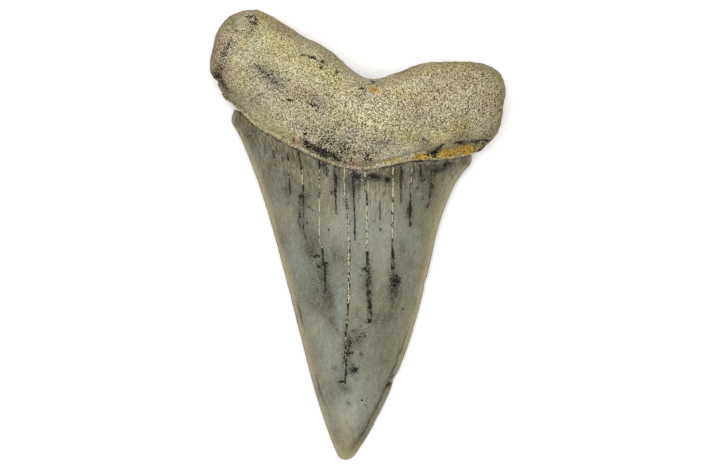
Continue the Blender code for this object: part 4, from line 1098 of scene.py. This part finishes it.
ROOT_PALE = [
    (6.4, 14.0, 1.0, 0.8, 0, 0.35), (1.8, 20.6, 0.8, 0.5, 0, 0.35), (-12.3, 24.9, 1.2, 0.9, 0, 0.35),
    (-5.6, 20.9, 1.6, 0.8, -20, 0.4), (1.2, 21.0, 1.8, 0.7, 0, 0.7), (-5.8, 19.5, 0.8, 0.8, 0, 0.35),
    # The stain at (1.5, 17.0) is partly painted light, where the top of the boss faces up
    (-14.6, 15.4, 0.9, 0.6, -38, 0.6), (1.5, 17.0, 1.4, 1.0, 0, 0.35), (-11.3, 14.3, 1.2, 0.6, -28, 0.4),
    (5.0, 10.5, 1.4, 0.6, 5, 0.85), (7.5, 11.0, 1.2, 0.5, 5, 1.0), (-0.2, 8.9, 0.8, 0.3, 0, 0.6),
    (3.1, 9.4, 0.9, 0.35, 5, 0.6), (-5.8, 24.9, 1.8, 0.9, -32, 0.55), (-15.6, 23.0, 1.0, 0.8, 0, 0.35),
    (4.3, 19.1, 0.9, 0.6, 0, 0.4), (-1.2, 22.2, 2.0, 0.7, -35, 0.5), (1.5, 20.8, 1.8, 0.7, 0, 0.55),
    (3.8, 21.0, 1.4, 0.6, 10, 0.4), (-7.2, 20.2, 1.8, 1.0, -20, 0.4), (-12.7, 25.1, 1.2, 0.8, 0, 0.3),
    (-14.3, 29.2, 1.2, 0.5, 0, 0.4), (-6.6, 15.8, 1.2, 0.7, 0, 0.3), (-3.4, 15.9, 0.8, 0.6, 0, 0.4),
    (1.0, 13.5, 1.2, 0.8, 0, 0.2), (-13.9, 15.9, 1.6, 0.7, -38, 0.7), (3.4, 10.0, 1.6, 0.5, 5, 0.8),
    (3.4, 14.2, 1.4, 0.8, 0, 0.4), (-7.6, 13.2, 0.7, 0.6, 0, 0.35), (6.2, 10.8, 1.9, 0.5, 6, 0.8),
    # The stains at (3.4, 16.6) and (-1.0, 17.2) are partly painted light, where the top of the boss faces
    # up
    (3.4, 16.6, 3.2, 1.5, -12, 0.48), (-1.0, 17.2, 2.0, 1.2, -20, 0.6), (0.6, 15.0, 2.4, 0.7, -8, 0.2),
    (-9.2, 22.0, 2.4, 1.4, -25, 0.4), (-11.6, 18.2, 2.2, 1.2, -30, 0.45), (5.4, 11.9, 1.2, 0.6, 0, 0.5),
    (-14.6, 23.6, 1.6, 1.2, 0, 0.4), (9.0, 20.0, 2.4, 1.6, 0, 0.25), (-10.0, 16.2, 2.0, 0.8, -28, 0.3),
    (-12.9, 26.0, 1.2, 0.9, 0, 0.3), (11.5, 16.5, 2.4, 1.4, 0, 0.25), (4.2, 11.0, 1.0, 0.5, 0, 0.6),
]

# Where the grain is coarse and strong
ROOT_COARSE = [
    (-1.5, 14.0, 7.5, 5.0, -20, 1.0), (7.0, 17.5, 5.0, 4.0, 0, 0.6), (15.5, 18.5, 4.0, 4.0, 0, 0.5),
]

for name, stains in (("coarse", ROOT_COARSE), ("black", ROOT_BLACK), ("grey", ROOT_GREY),
                     ("yellow", ROOT_YELLOW), ("ochre", ROOT_OCHRE), ("brown", ROOT_BROWN),
                     ("pink", ROOT_PINK), ("pale", ROOT_PALE)):
    mark("root_" + name, stained(stains))

BONE = paint(177, 168, 138)
OLIVE_BONE = paint(163, 160, 120)
ROSY_BONE = paint(187, 171, 144)
BONE_GREY = paint(130, 127, 112)
SULPHUR = paint(190, 181, 122)
ROSE = paint(168, 142, 114)
RIM_OLIVE_AND_SHADE = paint(142, 126, 86)
CHALK = paint(204, 198, 166)
FLANK_BROWN = paint(124, 104, 72)
FLANK_CREAM = paint(196, 182, 130)
UMBER = paint(96, 78, 50)
RIDGE_CREAM = paint(208, 194, 156)
RIDGE_BROWN = paint(150, 126, 96)
OCHRE = paint(196, 172, 84)
GOLD = paint(198, 158, 48)
RUST = paint(140, 100, 36)
CHUNK_ROSE = paint(180, 150, 124)
PORE_BROWN = paint(84, 76, 56)
MANGANESE_AND_SHADOW_BLACK = paint(18, 21, 21)

dentine.use_nodes = True
dentine.node_tree.nodes.clear()
nodes = Nodes(dentine.node_tree)
margin = nodes.read("enamel_margin")
flank = nodes.read("flank")
color = nodes.mix(clouds(0.3, 1.0, 2.6, 2.0), BONE, OLIVE_BONE)
color = coat(color, clouds(0.7, 1.0, 2.8, 12.0), 0.45, ROSY_BONE)
# Grey stains, and painted shade in the hollow of the left lobe
color = coat(color, nodes.read("root_grey"), 0.95, BONE_GREY)
color = coat(color, nodes.read("root_yellow"), 0.8, SULPHUR)
color = coat(color, nodes.read("root_pink"), 0.85, ROSE)
# Olive-brown along the root's outline: partly its own colour, partly painted shade where the rim rolls
# away from the light
rim_tone_and_shade = nodes.step(nodes.math("MULTIPLY_ADD", nodes.noise(nodes.place(), 0.8, 2.0), 0.9,
                                  nodes.read("root_rim")), 0.55, 2.4, 1.0, 0.0)
rim_tone_and_shade = nodes.math("MULTIPLY", rim_tone_and_shade, nodes.step(margin, 0.6, 1.6))
color = coat(color, rim_tone_and_shade, 0.5, RIM_OLIVE_AND_SHADE)
# Chalky pale patches, and painted light on the top of the boss
color = coat(color, nodes.read("root_pale"), 0.8, CHALK)

# Patches on the flanks and the outer face, where few of the stains above reach
patches = nodes.math("MULTIPLY", flank, nodes.step(clouds(0.22, 1.0, 2.8, 51.0), 0.4, 0.8))
color = coat(color, patches, 0.5, FLANK_BROWN)
patches = nodes.math("MULTIPLY", flank, nodes.step(clouds(0.3, 1.0, 3.0, 71.0), 0.6, 0.9))
color = coat(color, patches, 0.5, FLANK_CREAM)
# Umber stains, and painted shade on the rounded left end
brown = nodes.math("MULTIPLY", nodes.read("root_brown"), clouds(1.2, 1.0, 1.6, 33.0))
color = coat(color, brown, 1.2, UMBER)

# The thin ridge along the enamel
ridge = nodes.step(nodes.math("MULTIPLY_ADD", nodes.noise(nodes.place(), 1.6, 1.0), 0.16, margin),
                   0.14, 0.26, 1.0, 0.0)
ridge_tone = nodes.mix(nodes.step(nodes.noise(nodes.place(), 1.7, 2.0, 0.6), 0.40, 0.62),
                       RIDGE_CREAM, RIDGE_BROWN)
color = coat(color, ridge, 0.7, ridge_tone)

# Iron: yellow where it is thin, golden where it is thick, with rust in it
ochre = flecked(nodes.read("root_ochre"), 0.4, 1.6, 0.60, 0.42)
color = coat(color, ochre, 0.45, OCHRE)
color = coat(color, nodes.step(ochre, 0.35, 0.95), 0.75, GOLD)
rusty = nodes.step(nodes.noise(nodes.place(), 2.6, 2.0, 0.6), 0.5, 0.68)
color = nodes.mix(nodes.math("MULTIPLY", share_of(ochre, 0.5), rusty), color, RUST)
chunk = nodes.math("MULTIPLY_ADD", nodes.noise(nodes.place(), 1.6, 2.0, 0.6), 1.6,
                   nodes.math("ADD", nodes.read("band_chunks"), -0.8))
color = coat(color, nodes.step(chunk, 0.15, 0.7), 0.55, CHUNK_ROSE)

# Grains and pores, calmer on the band, along the rim and on the smooth chunks
ledge = nodes.step(nodes.math("MULTIPLY_ADD", nodes.noise(nodes.place(), 1.2, 2.0), 0.5, margin),
                   0.6, 1.0, 1.0, 0.0)
calm = nodes.math("MAXIMUM", share_of(ledge, 0.08), share_of(rim_tone_and_shade, 0.1))
calm = nodes.math("MAXIMUM", calm, share_of(nodes.read("band_chunks"), 0.4))
bold = nodes.math("MULTIPLY", nodes.math("SUBTRACT", 1.0, calm),
                  nodes.math("MULTIPLY_ADD", nodes.read("root_coarse"), 0.42, 0.75))
grain = nodes.noise(nodes.place(), 6.0, 2.0, 0.65, 0.2)
fine = nodes.noise(nodes.place(), 9.0, 1.0, 0.5)
mosaic = nodes.step(nodes.grains(nodes.place(), 11.0), 0.1, 0.9)
shade = nodes.math("MULTIPLY_ADD", nodes.math("ADD", mosaic, -0.5), 1.9,
                   nodes.math("MULTIPLY_ADD", nodes.math("ADD", grain, -0.5), 0.6, 0.02))
shade = nodes.math("MAXIMUM", nodes.math("MULTIPLY", shade, bold), -0.88)
color = nodes.mix(1.0, color, nodes.math("MULTIPLY_ADD", shade, 0.75, 1.0), "MULTIPLY")
color = nodes.mix(1.0, color, share_of(shade, 0.07), "ADD")
color = coat(color, nodes.step(fine, 0.6, 0.72), 0.3, PORE_BROWN)

# Black manganese flecks, and painted shadow in the crevice under the bluff on the right
black = flecked(nodes.read("root_black"), 0.18, 2.6, 0.52, 0.08)
spread = nodes.math("MULTIPLY", flank, nodes.step(clouds(0.35, 1.0, 3.0, 61.0), 0.62, 1.0))
black = nodes.math("MAXIMUM", black, flecked(share_of(spread, 0.5), 0.22, 2.4, 0.6, 0.08))
color = coat(color, black, 0.96, MANGANESE_AND_SHADOW_BLACK)

height = nodes.math("MULTIPLY_ADD", grain, 0.11, share_of(fine, 0.05))
height = nodes.math("MULTIPLY", height, nodes.math("MULTIPLY_ADD", bold, 0.8, 0.2))
bump = nodes.add("ShaderNodeBump", {"Strength": 0.75, "Distance": MM, "Height": height})
shader = nodes.add("ShaderNodeBsdfPrincipled", {
    "Base Color": color, "Roughness": nodes.step(grain, 0.3, 0.7, 0.92, 0.8),
    "Normal": bump.outputs[0], "IOR": 1.45, "Specular IOR Level": 0.12})
nodes.add("ShaderNodeOutputMaterial", {"Surface": shader.outputs[0]})

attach(tooth, "root")
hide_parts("tooth")

# The floor, the light and the camera
# A white sheet under a wide soft box in a white room; the camera looks straight down on the tooth.

FLOOR_SIZE = 3.0
SHEET = (0.97, 0.97, 0.97, 1.0)
ROOM_LIGHT = 0.45
SOFT_BOX_SIZE = 0.9
SOFT_BOX_POWER = 8.8
SOFT_BOX_PLACE = (-0.05, 0.08, 0.80)
SENSOR_WIDTH = 36.0
LENS = 200.0
VIEW_WIDTH = 94.16 * MM      # width of the picture at the height that the camera looks at
VIEW_CENTRE = (-0.505 * MM, -0.053 * MM, 3.0 * MM)

floor_mesh = bpy.data.meshes.new("floor")
half = FLOOR_SIZE / 2.0
floor_mesh.from_pydata([(-half, -half, 0.0), (half, -half, 0.0), (half, half, 0.0), (-half, half, 0.0)],
                       [], [(0, 1, 2, 3)])
floor = bpy.data.objects.new("floor", floor_mesh)
bpy.context.scene.collection.objects.link(floor)
white = bpy.data.materials.new("white sheet")
white.use_nodes = True
white.node_tree.nodes.clear()
nodes = Nodes(white.node_tree)
shader = nodes.add("ShaderNodeBsdfPrincipled", {
    "Base Color": SHEET, "Roughness": 0.9, "Specular IOR Level": 0.0})
nodes.add("ShaderNodeOutputMaterial", {"Surface": shader.outputs[0]})
floor_mesh.materials.append(white)

world = bpy.data.worlds.new("white room")
world.use_nodes = True
world.node_tree.nodes["Background"].inputs["Color"].default_value = (1.0, 1.0, 1.0, 1.0)
world.node_tree.nodes["Background"].inputs["Strength"].default_value = ROOM_LIGHT
bpy.context.scene.world = world

soft_box = bpy.data.lights.new("soft box", "AREA")
soft_box.shape = "SQUARE"
soft_box.size = SOFT_BOX_SIZE
soft_box.energy = SOFT_BOX_POWER
lamp = bpy.data.objects.new("soft box", soft_box)
lamp.location = SOFT_BOX_PLACE
lamp.rotation_euler = (-Vector(SOFT_BOX_PLACE)).to_track_quat("-Z", "Y").to_euler()
bpy.context.scene.collection.objects.link(lamp)

camera_data = bpy.data.cameras.new("camera")
camera_data.sensor_width = SENSOR_WIDTH
camera_data.lens = LENS
camera_data.clip_start = 0.01
camera = bpy.data.objects.new("camera", camera_data)
camera.location = Vector(VIEW_CENTRE) + Vector((0.0, 0.0, LENS / SENSOR_WIDTH * VIEW_WIDTH))
bpy.context.scene.collection.objects.link(camera)
bpy.context.scene.camera = camera
bpy.context.scene.view_settings.view_transform = "Standard"
